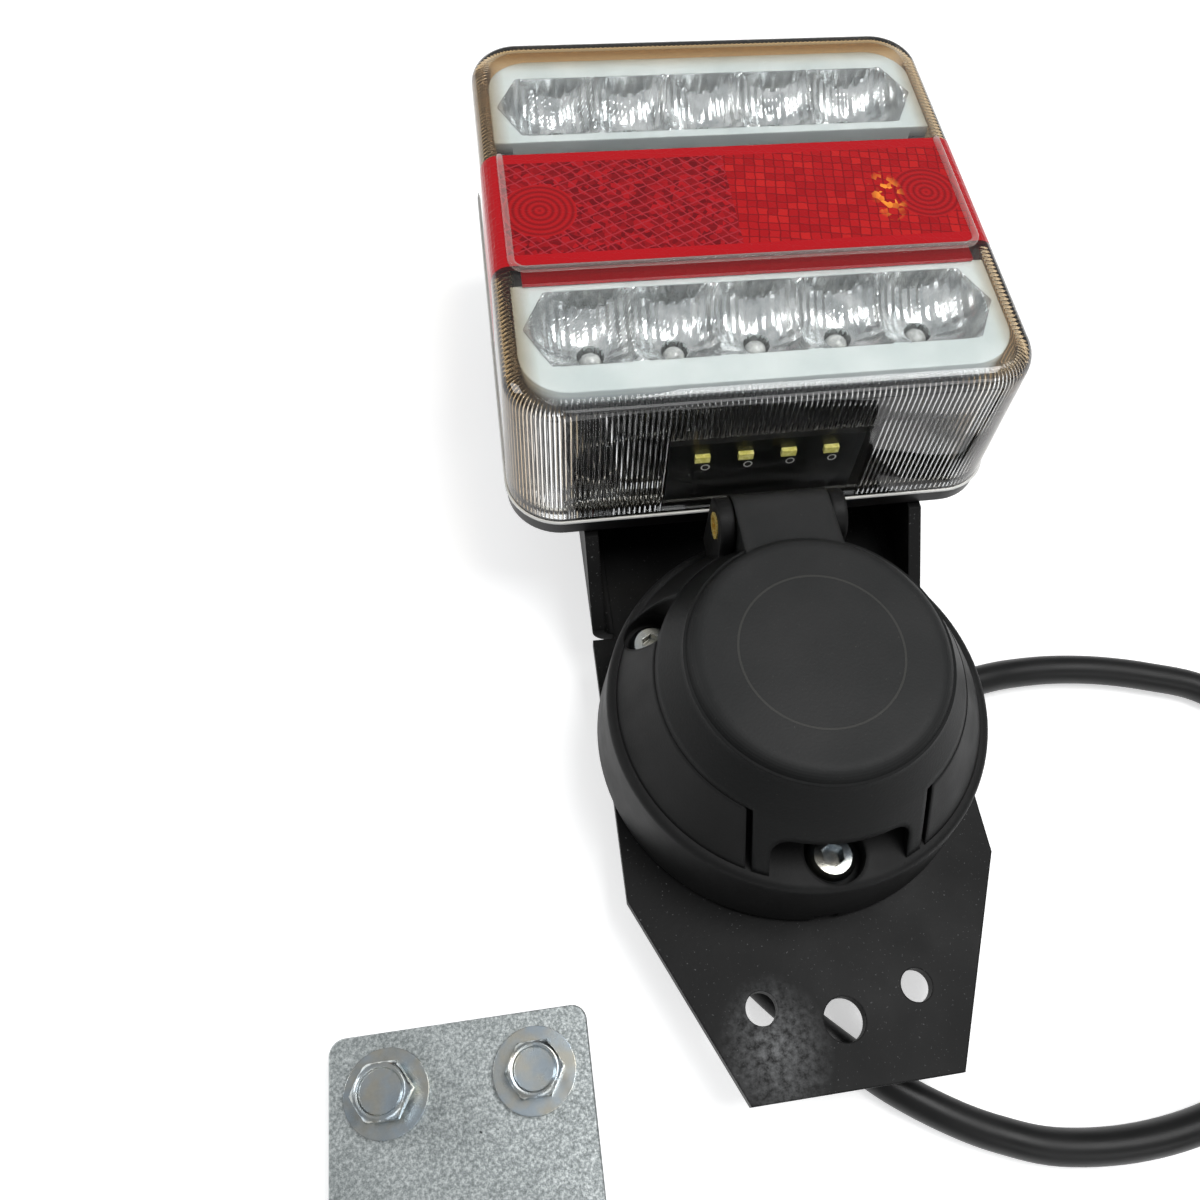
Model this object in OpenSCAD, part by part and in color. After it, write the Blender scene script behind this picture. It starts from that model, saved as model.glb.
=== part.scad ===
// Trailer light set: a rear lamp and a seven-pin socket on one folded steel bracket,
// joined by one cable, with a bolted fixing plate beside them.
// The set lies on its back: +Z is out of the lamp's face, +Y runs from the socket to the lamp,
// and the origin is the centre of the bracket's large fixing hole, on its front face.

/* [Bracket] */
// Thickness of the steel sheet
sheet_t = 3; // [2:0.5:4]
// How far the socket's flange stands past the bracket's edges
socket_overhang = 2; // [1:0.5:3]
// Width of the bracket's narrow end
bracket_end_w = 42; // [40:1:60]
// Length of the bracket above the large hole
bracket_len = 198; // [190:1:206]
// Distance from the large hole to the end edge
bracket_end = 12.5; // [10:0.5:16]
// Distance from the large hole to the top of the end chamfers
bracket_shoulder = 28; // [22:1:34]
// Height of the side flanges in front of the sheet
flange_h = 17.5; // [16:0.5:22]
// Length of the slope at the flanges' lower end
flange_slope = 17; // [8:1:18]
// Diameter of the large fixing hole
large_hole_d = 8.4; // [6:0.1:10]
// Diameter of the two small fixing holes
small_hole_d = 6.4; // [5:0.1:8]
// Distance between the two small fixing holes
small_hole_span = 31.6; // [28:0.1:32]
// Distance of the small holes above the large one
small_hole_rise = 4.2; // [3:0.1:8]

/* [Lamp] */
// Width of the lamp
lamp_w = 110; // [104:1:116]
// Length of the lamp
lamp_l = 113; // [108:1:116]
// Distance from the large hole to the lamp's lower edge
lamp_y = 105; // [104.5:0.5:108]
// Radius of the lamp's corners
lamp_r = 12; // [11:0.5:14]
// Height of the black base tray
tray_h = 5; // [4:0.5:7]
// Wall of the black base tray
tray_t = 2; // [1.6:0.1:2.5]
// Height of the lens above the tray
lens_h = 37; // [35:0.5:42]
// Wall of the lens
lens_t = 2.2; // [1.8:0.1:2.6]
// Radius of the lens's front edge
lens_edge_r = 4; // [3.5:0.1:5]
// How far the lens's walls lean in
lens_draft = 1; // [0.5:0.1:1.5]
// Spacing of the flutes on the lens's walls
flute_pitch = 1.6; // [1.4:0.1:3]
// Depth of the flutes
flute_depth = 0.35; // [0.2:0.05:0.5]
// Length of the red band along the lamp
band_l = 33; // [28:0.5:34]
// Distance from the lamp's lower edge to the red band
band_y = 38.5; // [38:0.5:40]
// How far the red band reaches down the lamp's sides
band_drop = 24; // [16:1:26]
// Width of the rib round the red band
rib_w = 1.4; // [1:0.1:2]
// Height of the rib round the red band
rib_h = 1.2; // [0.8:0.1:2]
// Width of the number-plate window
window_w = 44; // [36:1:50]
// Diameter of the lamp's studs
stud_d = 5; // [4:0.5:6]
// Distance between the lamp's studs
stud_span = 52; // [44:1:54]

/* [Light units] */
// Number of diodes in a row
led_count = 5; // [3:1:5]
// Spacing of the diodes in a row
led_pitch = 17.6; // [17:0.1:18]
// Width of a row's bay
bay_w = 19.6; // [17:0.1:20]
// Depth of a row's bay
bay_depth = 9.5; // [8:0.5:11]
// Radius of the bowl round each diode
bowl_r = 12.5; // [12.2:0.1:14]
// Thickness of the reflector housings
housing_h = 13; // [12:0.5:15]
// Diameter of a diode
led_d = 5; // [3:0.5:6]
// Thickness of the circuit boards
board_t = 1.6; // [1:0.1:2]
// Spacing of the number-plate diodes
chip_pitch = 9.3; // [8:0.1:10]

/* [Socket] */
// Distance from the large hole to the socket's axis
socket_y = 60; // [58.5:0.5:61]
// Diameter of the socket's flange
socket_d = 82; // [80:1:84]
// Height of the socket's rim above its gasket
rim_h = 18; // [16:0.5:19]
// Diameter of the circle through the three socket screws
screw_circle_d = 64.6; // [63:0.1:65.5]
// Diameter of the socket screws' thread
screw_d = 5; // [4:0.5:5]
// Diameter of the wells round the screw heads
well_d = 12; // [11:0.5:12.5]
// Diameter of the bore that takes the plug
plug_bore_d = 48; // [46:0.5:49]
// Height of the plug bore's mouth above the gasket
mouth_h = 30; // [28:0.5:31]
// Diameter of the contact carrier
carrier_d = 34; // [32:0.5:36]
// Thickness of the gasket under the socket
gasket_t = 1.5; // [1:0.5:3]
// Depth of the socket's rear boot behind the sheet
boot_depth = 13; // [12:0.5:15]
// Diameter of the rear boot
boot_d = 53; // [52:0.5:55]

/* [Cap] */
// Diameter of the cap at its lower edge
cap_d = 61; // [59:0.5:62]
// Diameter of the cap at its top edge
cap_top_d = 50; // [48:0.5:52]
// Height of the cap
cap_h = 10.3; // [9:0.1:11]
// Wall of the cap
cap_t = 2.4; // [2:0.1:3]
// Width of the cap's front tongue
tongue_w = 33; // [30:0.5:34]
// Width of the slits beside the tongue
slit_w = 1.2; // [1:0.1:1.6]
// Distance from the socket's axis to the hinge pin
hinge_y = 34; // [33:0.5:35]
// Radius of the hinge's knuckle
knuckle_r = 6; // [5.5:0.1:6.5]
// Width of the hinge's knuckle
knuckle_w = 20; // [18:0.5:22]
// Width of each hinge ear
ear_w = 3; // [2.5:0.5:4]
// Diameter of the hinge pin
pin_d = 5.6; // [5:0.1:6]
// Bore of the tubular hinge pin
pin_bore_d = 3.8; // [3:0.1:4]

/* [Cable] */
// Diameter of the cable
cable_d = 7; // [6:0.5:7]
// Diameter of the boots' cable necks
neck_d = 10; // [10:0.5:11]

/* [Fixing plate] */
// Width of the fixing plate
plate_w = 50; // [44:1:56]
// Length of the fixing plate
plate_l = 60; // [50:1:80]
// Thickness of the fixing plate
plate_t = 3; // [2:0.5:4]
// Distance between the plate's two bolts
bolt_span = 28; // [26:0.5:30]
// Distance from the plate's edge to its bolts
bolt_edge = 11; // [10:0.5:14]
// Diameter of the plate bolts' thread
bolt_d = 6; // [5:0.5:6]
// Width across flats of the bolt heads and nuts
bolt_flats = 10; // [9:0.5:11]
// Height of the bolt heads
bolt_head_h = 4; // [3.5:0.1:5]
// Diameter of the plate washers
washer_d = 16; // [14:0.5:18]
// How far the left bolt is still unscrewed
bolt_lift = 3.5; // [0:0.5:5]

/* [Hidden] */

$fn = 96;
cut = 0.5;               // how far a cutter runs past what it cuts
fit_gap = 0.3;           // running gap between parts that move past each other
hex_ratio = 1 / cos(30); // across corners for one across flats

bracket_w = socket_d - 2 * socket_overhang;
bracket_half = bracket_w / 2;
bend_r = sheet_t + 2;               // outer radius of the bends
bend_relief = 1.2;                  // notch at the foot of each bend
flange_foot = lamp_y - 1 - flange_slope;
back_z = -sheet_t;                  // the sheet's back face
floor_z = back_z - boot_depth;      // what the set lies on
lamp_mid_y = lamp_y + lamp_l / 2;
tray_z = flange_h;                  // the tray sits on the flanges' edges
lens_z = tray_z + tray_h;
face_z = lens_z + lens_h;
inner_face_z = face_z - lens_t;
housing_z = inner_face_z - 1;       // front of the reflector housings
board_z = housing_z - housing_h;    // front of the main board
board_gap = 1.5;                    // room between the housings and the lens's walls
band_y0 = lamp_y + band_y;
band_y1 = band_y0 + band_l;
cavity_half_x = lamp_w / 2 - lens_t - lens_draft;
cavity_half_y = lamp_l / 2 - lens_t - lens_draft;

barrel_t = 2;
socket_z = gasket_t;
socket_r = socket_d / 2;
rim_z = socket_z + rim_h;
mouth_z = socket_z + mouth_h;
cap_z = mouth_z + fit_gap;
cap_top_z = cap_z + cap_h;
cap_r = cap_d / 2;
cone_r = socket_r - 2.5;            // foot of the cone on the socket's rim
recess_half = tongue_w / 2 + slit_w;
seal_t = 2;
seal_bore_r = plug_bore_d / 2 - 0.8;
seal_r = plug_bore_d / 2 + barrel_t - 0.2;
pin_y = socket_y + hinge_y;
neck_back = cap_top_d / 2 - 4 - hinge_y;
pin_z = cap_top_z - knuckle_r - 2.3;
ear_x = knuckle_w / 2 + fit_gap;
pin_len = 2 * (ear_x + ear_w + 0.3);
screw_r = screw_circle_d / 2;
screw_head_d = 1.9 * screw_d;
screw_head_h = 0.6 * screw_d;
well_z = rim_z - 4.5;
nut_h = 0.8 * screw_d;
barrel_back = 7;                    // how far the plug bore's barrel stands behind the sheet

neck_z = floor_z + neck_d / 2 + 0.3;
socket_neck_angle = 12;
socket_neck_len = 44;
socket_neck_at = [socket_neck_len * cos(socket_neck_angle),
                  socket_y + socket_neck_len * sin(socket_neck_angle)];
cable_z = floor_z + cable_d / 2;
neck_lift = neck_z - cable_z;
stud_flats = 1.6 * stud_d;
stud_nut_h = 0.8 * stud_d;
stud_head_h = 0.6 * stud_d;
stud_washer_d = 2.4 * stud_d;
stud_washer_t = 0.2 * stud_d;
stud_boss_d = 2.8 * stud_d;
stud_x = stud_span / 2;
stud_y = lamp_mid_y;
lamp_boot_at = [19 - bracket_half, lamp_y + 25];
lamp_boot_r = 8;
lamp_neck_len = 22;

plate_x = -49.5;                    // the fixing plate's right edge
plate_top_y = 11;
plate_mid_x = plate_x - plate_w / 2;
bolt_y = plate_top_y - bolt_edge;
nut_m6_h = 0.8 * bolt_d;
plate_washer_t = 1.6;
plate_z = floor_z + nut_m6_h + 0.2; // underside of the plate at its bolts

function arc(cx, cy, r, from, to, n = 7) =
    [for (i = [0:n]) let (a = from + (to - from) * i / n) [cx + r * cos(a), cy + r * sin(a)]];

function turned(v, a) = [v[0] * cos(a) - v[1] * sin(a), v[0] * sin(a) + v[1] * cos(a)];

// Sweeps a section round a rectangle with round corners. The section's x runs outward from the
// line through the corners' centres, and its y runs up.
module swept(half_x, half_y, r) {
    straight_x = half_x - r;
    straight_y = half_y - r;
    for (quarter = [0:3])
        translate([(quarter == 0 || quarter == 3 ? 1 : -1) * straight_x,
                   (quarter < 2 ? 1 : -1) * straight_y, 0])
            rotate([0, 0, 90 * quarter]) rotate_extrude(angle = 90) children();
    for (side = [0, 180]) {
        rotate([0, 0, side]) translate([straight_x, straight_y, 0]) rotate([90, 0, 0])
            linear_extrude(2 * straight_y) children();
        rotate([0, 0, side]) translate([-straight_x, straight_y, 0]) rotate([90, 0, 90])
            linear_extrude(2 * straight_x) children();
    }
}

// A solid block with round corners whose section is given down to its middle.
module block(half_x, half_y, r, z0, z1) {
    swept(half_x, half_y, r) children();
    translate([r - half_x, r - half_y, z0]) cube([2 * (half_x - r), 2 * (half_y - r), z1 - z0]);
}

// Section of a wall that leans in by draft and ends in a round edge.
module wall_section(r, draft, edge_r, z0, z1) {
    polygon(concat([[0, z0], [r, z0]], arc(r - draft - edge_r, z1 - edge_r, edge_r, 0, 90),
                   [[0, z1]]));
}

// A point at distance s along the outline of a rectangle with round corners, moved in by d.
function outline_point(s, hx, hy, r, d) =
    let (ax = 2 * (hx - r), ay = 2 * (hy - r), q = PI * r / 2)
    s < ax ? [s - ax / 2, d - hy]
    : s < ax + q ? corner_point((s - ax) / q, hx, hy, r, d, 0)
    : s < ax + q + ay ? [hx - d, s - ax - q - ay / 2]
    : s < ax + 2 * q + ay ? corner_point((s - ax - q - ay) / q, hx, hy, r, d, 1)
    : s < 2 * ax + 2 * q + ay ? [ax / 2 - (s - ax - 2 * q - ay), hy - d]
    : s < 2 * ax + 3 * q + ay ? corner_point((s - 2 * ax - 2 * q - ay) / q, hx, hy, r, d, 2)
    : s < 2 * ax + 3 * q + 2 * ay ? [d - hx, ay / 2 - (s - 2 * ax - 3 * q - ay)]
    : corner_point((s - 2 * ax - 3 * q - 2 * ay) / q, hx, hy, r, d, 3);
function corner_point(t, hx, hy, r, d, k) =
    let (a = 90 * (k + t) - 90, cx = (k == 0 || k == 1 ? 1 : -1) * (hx - r),
         cy = (k == 1 || k == 2 ? 1 : -1) * (hy - r))
    [cx + (r - d) * cos(a), cy + (r - d) * sin(a)];
function outline_length(hx, hy, r) = 4 * (hx - r) + 4 * (hy - r) + 2 * PI * r;

// The fluted outline of the lens's cavity, plain behind the number-plate window.
module fluted_outline(hx, hy, r) {
    around = outline_length(hx, hy, r);
    count = round(around / flute_pitch);
    polygon([for (i = [0:2 * count - 1])
        let (s = (i + 0.5) * around / (2 * count),
             from_middle = abs(s - (hx - r)),
             d = i % 2 == 0 || from_middle < window_w / 2 ? 0 : flute_depth)
        outline_point(s, hx, hy, r, d)]);
}

module at_lamp() { translate([0, lamp_mid_y, 0]) children(); }

module red_band_space() {
    translate([-lamp_w, band_y0, face_z - band_drop]) cube([2 * lamp_w, band_l, lens_h]);
}

module lens_outside() {
    at_lamp() block(lamp_w / 2, lamp_l / 2, lamp_r, lens_z, face_z)
        wall_section(lamp_r, lens_draft, lens_edge_r, lens_z, face_z);
}

module lens_inside() {
    r = lamp_r - lens_t - lens_draft;
    edge_r = lens_edge_r - lens_t + 0.6;
    at_lamp() block(cavity_half_x, cavity_half_y, r, lens_z - cut, inner_face_z)
        wall_section(r, 0, edge_r, lens_z - cut, inner_face_z);
}

module lens_flutes() {
    r = lamp_r - lens_t - lens_draft + 2 * flute_depth;
    at_lamp() translate([0, 0, lens_z - cut])
        linear_extrude(lens_h - lens_edge_r - lens_t + cut)
            fluted_outline(cavity_half_x + 2 * flute_depth, cavity_half_y + 2 * flute_depth, r);
}

module lens() color("lightcyan") {
    difference() {
        lens_outside();
        lens_inside();
        lens_flutes();
        red_band_space();
    }
    rib_half = lamp_w / 2 - lens_draft - lens_edge_r;
    translate([-rib_half, band_y0 - rib_w, face_z - cut])
        cube([2 * rib_half, rib_w, rib_h + cut]);
}

module red_reflector() color("red") {
    ring_r = 8;
    difference() {
        intersection() {
            difference() {
                lens_outside();
                lens_inside();
            }
            red_band_space();
        }
        // Ring prisms at both ends and a field of crossing grooves between them, on the back
        for (side = [-1, 1], ring = [1:3])
            translate([side * (cavity_half_x - ring_r - 1), (band_y0 + band_y1) / 2, inner_face_z])
                rotate_extrude()
                    polygon([[ring * 2.4 - 0.7, -cut], [ring * 2.4 + 0.7, -cut],
                             [ring * 2.4 + 0.4, 0.6], [ring * 2.4 - 0.4, 0.6]]);
    }
    // Lip that lies under the clear lens below the rib
    translate([-cavity_half_x + lens_edge_r, band_y0 - 4, inner_face_z - 0.8])
        cube([2 * (cavity_half_x - lens_edge_r), 4 + cut, 0.8]);
}

module housing_outline(length, round_r, inset) {
    half = cavity_half_x - inset;
    hull() {
        for (side = [-1, 1])
            translate([side * (half - round_r), length - round_r]) circle(round_r, $fn = 48);
        translate([-half, 0]) square([2 * half, 1]);
    }
}

module bay_outline() {
    half = led_count * led_pitch / 2;
    side = bay_w / 2;
    polygon([[-half, -side], [half, -side], [half + side / 2, 0], [half, side],
             [-half, side], [-half - side / 2, 0]]);
}

function led_x(i) = (i - (led_count - 1) / 2) * led_pitch;

// A reflector housing: a plate with one long bay, floored by a bowl round each diode.
module reflector(length, bay_at) {
    difference() {
        translate([0, 0, board_z]) linear_extrude(housing_h)
            housing_outline(length, lamp_r - lens_t, board_gap);
        intersection() {
            translate([0, bay_at, board_z]) linear_extrude(housing_h + cut) bay_outline();
            for (i = [0:led_count - 1])
                translate([led_x(i), bay_at, housing_z + bowl_r - bay_depth]) sphere(bowl_r);
        }
        for (i = [0:led_count - 1])
            translate([led_x(i), bay_at, board_z - cut])
                cylinder(d = led_d + 0.8, h = housing_h);
    }
}

upper_y = band_y1 + 6.5;
upper_l = lamp_mid_y + cavity_half_y - board_gap - 2.5 - upper_y;
upper_bay = bay_w / 2 + 2.2;
lower_y = band_y0 - 3.5;
lower_l = lower_y - (lamp_mid_y - cavity_half_y + 3.8);
lower_bay = bay_w / 2 + 1.9;

module upper_reflector() color("whitesmoke")
    translate([0, upper_y, 0]) reflector(upper_l, upper_bay);

module lower_reflector() color("whitesmoke")
    translate([0, lower_y, 0]) mirror([0, 1, 0]) reflector(lower_l, lower_bay);

module led_row() {
    for (i = [0:led_count - 1]) translate([led_x(i), 0, board_z]) {
        cylinder(d = led_d, h = 1.6);
        translate([0, 0, 1.6]) intersection() {
            sphere(d = led_d);
            cylinder(d = led_d + cut, h = led_d);
        }
    }
}

module upper_leds() color("orange") translate([0, upper_y + upper_bay, 0]) led_row();
module lower_leds() color("orange") translate([0, lower_y - lower_bay, 0]) led_row();

board_half = cavity_half_x - 3;
post_x = board_half - 6;
board_y0 = lower_y - lower_l;
board_y1 = upper_y + upper_l - 1;

module led_board() color("darkgreen")
    translate([-board_half, board_y0, board_z - board_t])
        cube([2 * board_half, board_y1 - board_y0, board_t]);

chip_board_y = lamp_y + lens_t + lens_draft + 1;
chip_board_w = window_w - 2;
chip_board_top = board_z - board_t - 0.2;

module plate_light_board() color("black")
    translate([-chip_board_w / 2, chip_board_y + 0.9, tray_z + tray_t])
        cube([chip_board_w, board_t, chip_board_top - tray_z - tray_t]);

module plate_light_leds() color("gold")
    for (i = [0:3])
        translate([(i - 1.5) * chip_pitch - 1.6, chip_board_y, chip_board_top - 5])
            cube([3.2, 0.9, 1.8]);

// The black tray: floor, low wall, stud bosses and the posts that carry the main board.
module lamp_base() color("black") difference() {
    union() {
        at_lamp() difference() {
            block(lamp_w / 2, lamp_l / 2, lamp_r, tray_z, lens_z)
                polygon([[0, tray_z], [lamp_r - 1, tray_z], [lamp_r, tray_z + 1],
                         [lamp_r, lens_z], [0, lens_z]]);
            block(lamp_w / 2 - tray_t, lamp_l / 2 - tray_t, lamp_r - tray_t,
                  tray_z + tray_t, lens_z + cut)
                polygon([[0, tray_z + tray_t], [lamp_r - tray_t, tray_z + tray_t],
                         [lamp_r - tray_t, lens_z + cut], [0, lens_z + cut]]);
        }
        for (x = [-post_x, post_x], y = [board_y0 + 6, board_y1 - 6])
            translate([x, y, tray_z]) cylinder(d = 7, h = board_z - board_t - tray_z);
        for (x = [-stud_x, stud_x])
            translate([x, stud_y, tray_z]) cylinder(d = stud_boss_d, h = tray_h + stud_head_h);
    }
    for (x = [-stud_x, stud_x]) {
        translate([x, stud_y, tray_z - cut]) cylinder(d = stud_d, h = tray_h + 4);
        translate([x, stud_y, tray_z + tray_h])
            cylinder(d = stud_flats * hex_ratio, h = stud_head_h + cut, $fn = 6);
    }
    translate([lamp_boot_at[0], lamp_boot_at[1], tray_z - cut]) cylinder(r = lamp_boot_r - 2, h = tray_t + 1);
}

module lamp_studs() color("silver")
    for (x = [-stud_x, stud_x]) translate([x, stud_y, 0]) {
        translate([0, 0, floor_z]) cylinder(d = stud_d, h = tray_z + tray_h - floor_z);
        translate([0, 0, tray_z + tray_h]) cylinder(d = stud_flats * hex_ratio, h = stud_head_h, $fn = 6);
    }

module hex_nut(flats, bore, h) {
    difference() {
        cylinder(d = flats * hex_ratio, h = h, $fn = 6);
        translate([0, 0, -cut]) cylinder(d = bore, h = h + 2 * cut);
    }
}

module washer(d, bore, h) {
    difference() {
        cylinder(d = d, h = h);
        translate([0, 0, -cut]) cylinder(d = bore, h = h + 2 * cut);
    }
}

module lamp_washers() color("silver")
    for (x = [-stud_x, stud_x]) translate([x, stud_y, back_z - stud_washer_t])
        washer(stud_washer_d, stud_d, stud_washer_t);

module lamp_nuts() color("silver")
    for (x = [-stud_x, stud_x]) translate([x, stud_y, back_z - stud_washer_t - stud_nut_h])
        hex_nut(stud_flats, stud_d, stud_nut_h);

// The elbow that leads the cable through the sheet and up into the lamp.
module lamp_boot() color("black") difference() {
    translate([lamp_boot_at[0], lamp_boot_at[1], 0]) {
        translate([0, 0, floor_z]) cylinder(r = lamp_boot_r, h = tray_z - floor_z);
        translate([0, 0, back_z - 2]) cylinder(r = lamp_boot_r + 3, h = 2);
        cylinder(r = lamp_boot_r + 3, h = 2);
        translate([0, 0, neck_z]) rotate([90, 0, 0]) cylinder(d = neck_d, h = lamp_neck_len);
    }
    translate([lamp_boot_at[0], lamp_boot_at[1] - lamp_neck_len - cut, neck_z]) rotate([-90, 0, 0])
        cylinder(d = cable_d, h = lamp_boot_r + cut);
}

module bracket_outline() {
    top = bracket_len;
    foot = flange_foot;
    inner = bracket_half - bend_r;
    polygon([[-bracket_end_w / 2, -bracket_end], [bracket_end_w / 2, -bracket_end],
             [bracket_half, bracket_shoulder], [bracket_half, foot], [inner, foot], [inner, top],
             [-inner, top], [-inner, foot], [-bracket_half, foot],
             [-bracket_half, bracket_shoulder]]);
}

// A side flange with its bend, on the right-hand side.
module flange() color("black") {
    inner = bracket_half - bend_r;
    run = bracket_len - flange_foot - bend_relief;
    intersection() {
        union() {
            translate([bracket_half - sheet_t, flange_foot + bend_relief, bend_r - sheet_t])
                cube([sheet_t, run, flange_h - bend_r + sheet_t]);
            translate([inner, bracket_len, bend_r - sheet_t]) rotate([90, 0, 0]) intersection() {
                difference() {
                    cylinder(r = bend_r, h = run);
                    translate([0, 0, -cut]) cylinder(r = bend_r - sheet_t, h = run + 2 * cut);
                }
                translate([0, -bend_r, 0]) cube([bend_r, bend_r, run]);
            }
        }
        translate([inner - cut, 0, 0]) rotate([90, 0, 90]) linear_extrude(bend_r + 2 * cut)
            polygon([[flange_foot, back_z - cut], [flange_foot, 1.5], [flange_foot + flange_slope, flange_h],
                     [bracket_len, flange_h], [bracket_len, back_z - cut]]);
    }
}

module right_flange() { flange(); }
module left_flange() { mirror([1, 0, 0]) flange(); }

// The web of the folded sheet, with its drilled end.
module bracket() color("black") difference() {
    translate([0, 0, back_z]) linear_extrude(sheet_t) bracket_outline();
    translate([0, 0, back_z - cut]) {
        cylinder(d = large_hole_d, h = sheet_t + 2 * cut);
        for (side = [-1, 1]) translate([side * small_hole_span / 2, small_hole_rise, 0])
            cylinder(d = small_hole_d, h = sheet_t + 2 * cut);
        translate([0, socket_y, 0])
            cylinder(d = plug_bore_d + 2 * barrel_t + 1, h = sheet_t + 2 * cut);
        for (a = socket_screw_angles) translate([0, socket_y, 0]) rotate([0, 0, a])
            translate([screw_r, 0, 0]) cylinder(d = screw_d + 0.5, h = sheet_t + 2 * cut);
        for (x = [-stud_x, stud_x]) translate([x, stud_y, 0])
            cylinder(d = stud_d + 0.5, h = sheet_t + 2 * cut);
        translate([lamp_boot_at[0], lamp_boot_at[1], 0])
            cylinder(r = lamp_boot_r, h = sheet_t + 2 * cut);
    }
}

socket_screw_angles = [30, 150, 270];

module at_socket() { translate([0, socket_y, 0]) children(); }
module at_socket_screws() {
    at_socket() for (a = socket_screw_angles) rotate([0, 0, a]) translate([screw_r, 0, 0]) children();
}

// Outer form of the socket's base: a drafted wall with a round edge.
module base_form() {
    edge = 1.5;
    rotate_extrude()
        polygon(concat([[0, socket_z], [socket_r, socket_z]],
                       arc(cone_r + 1 - edge, rim_z - edge, edge, 0, 90), [[0, rim_z]]));
}

// Outer form of the collar: a cone from the rim up to the mouth.
module collar_form() {
    rotate_extrude()
        polygon([[0, rim_z], [cone_r - 1, rim_z], [cap_r + 0.3, mouth_z], [0, mouth_z]]);
}

module hinge_ear() {
    rotate([90, 0, 90]) linear_extrude(ear_w) {
        circle(knuckle_r - 0.4);
        polygon([[0.4 - knuckle_r, 0], [knuckle_r - 0.4, 0], [knuckle_r - 0.4, rim_z - pin_z],
                 [-knuckle_r - 3, rim_z - pin_z]]);
    }
}

// The socket's flange, up to its rim, with the wells for the screws.
module socket_base() color("black") difference() {
    at_socket() base_form();
    at_socket() cylinder(d = plug_bore_d + 2 * barrel_t, h = 80);
    at_socket_screws() {
        translate([0, 0, well_z]) cylinder(d = well_d, h = 30);
        translate([0, 0, -cut]) cylinder(d = screw_d + 0.4, h = rim_z);
    }
    // Drain notch at the flange's lower edge
    translate([-2.5, socket_y - socket_r - cut, socket_z - cut]) cube([5, 2, 2.5]);
}

// The cone above the rim, open at the screws and at the cap's tongue, with the hinge ears.
module socket_collar() color("black") difference() {
    union() {
        difference() {
            at_socket() collar_form();
            // Recess for the cap's tongue
            at_socket() translate([-recess_half, -socket_r, 0])
                cube([2 * recess_half, socket_r, 80]);
            // Room for the hinge's knuckle
            at_socket() translate([-ear_x, plug_bore_d / 2 + barrel_t - 1, pin_z - knuckle_r - 0.8])
                cube([2 * ear_x, socket_r, mouth_h]);
        }
        for (side = [-ear_x - ear_w, ear_x]) translate([side, pin_y, pin_z]) hinge_ear();
    }
    at_socket() cylinder(d = plug_bore_d + 2 * barrel_t, h = 80);
    at_socket_screws() {
        cylinder(d = well_d, h = 80);
        translate([-screw_r, 0.5 - well_d / 2, 0]) cube([screw_r, well_d - 1, 80]);
    }
    translate([0, pin_y, pin_z]) rotate([0, 90, 0]) cylinder(d = pin_d, h = 60, center = true);
}

// The sleeve that takes the plug's shell.
module socket_barrel() color("black") at_socket() translate([0, 0, back_z - barrel_back]) difference() {
    cylinder(d = plug_bore_d + 2 * barrel_t, h = mouth_z - back_z + barrel_back);
    translate([0, 0, -cut]) cylinder(d = plug_bore_d, h = 80);
}

module socket_gasket() color("dimgray") difference() {
    at_socket() cylinder(r = socket_r - 1.5, h = gasket_t);
    at_socket() translate([0, 0, -cut]) cylinder(d = plug_bore_d + 2 * barrel_t, h = gasket_t + 2 * cut);
    at_socket_screws() translate([0, 0, -cut]) cylinder(d = screw_d + 0.4, h = gasket_t + 2 * cut);
}

contact_d = 5;
contact_circle_r = 11;
carrier_top = mouth_z - 4;
carrier_foot = 3;

module at_contacts() {
    at_socket() {
        children();
        for (i = [0:5]) rotate([0, 0, 60 * i + 30]) translate([contact_circle_r, 0, 0]) children();
    }
}

module carrier_plate() color("dimgray") difference() {
    at_socket() translate([0, 0, back_z - barrel_back]) cylinder(d = plug_bore_d, h = carrier_foot);
    at_contacts() translate([0, 0, back_z - barrel_back - cut]) cylinder(d = contact_d, h = 80);
}

module contact_carrier() color("dimgray") difference() {
    at_socket() {
        translate([0, 0, back_z - barrel_back + carrier_foot])
            cylinder(d = carrier_d, h = carrier_top - back_z + barrel_back - carrier_foot);
        // Key that lets the plug in one way round
        translate([-2, -carrier_d / 2 - 1.6, back_z - barrel_back + carrier_foot])
            cube([4, 3, carrier_top - back_z + barrel_back - carrier_foot - 1]);
    }
    at_contacts() translate([0, 0, back_z - barrel_back - cut]) cylinder(d = contact_d, h = 80);
}

module contacts() color("gold")
    at_contacts() translate([0, 0, back_z - barrel_back]) difference() {
        cylinder(d = contact_d, h = carrier_top - back_z + barrel_back - 2);
        translate([0, 0, 12]) cylinder(d = contact_d - 1.2, h = 60);
    }

// The rubber cup on the socket's back, with the neck that the cable leaves by.
module socket_boot() color("black") difference() {
    at_socket() {
        translate([0, 0, floor_z]) cylinder(d = boot_d + 2, h = boot_depth);
        translate([0, 0, neck_z]) rotate([0, 90, socket_neck_angle]) cylinder(d = neck_d, h = socket_neck_len);
    }
    at_socket() translate([0, 0, floor_z + 2]) cylinder(d = plug_bore_d + 2 * barrel_t, h = boot_depth);
    at_socket() rotate([0, 0, socket_neck_angle]) translate([boot_d / 2 + 2, 0, neck_z]) rotate([0, 90, 0])
        cylinder(d = cable_d, h = socket_neck_len);
}

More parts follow.
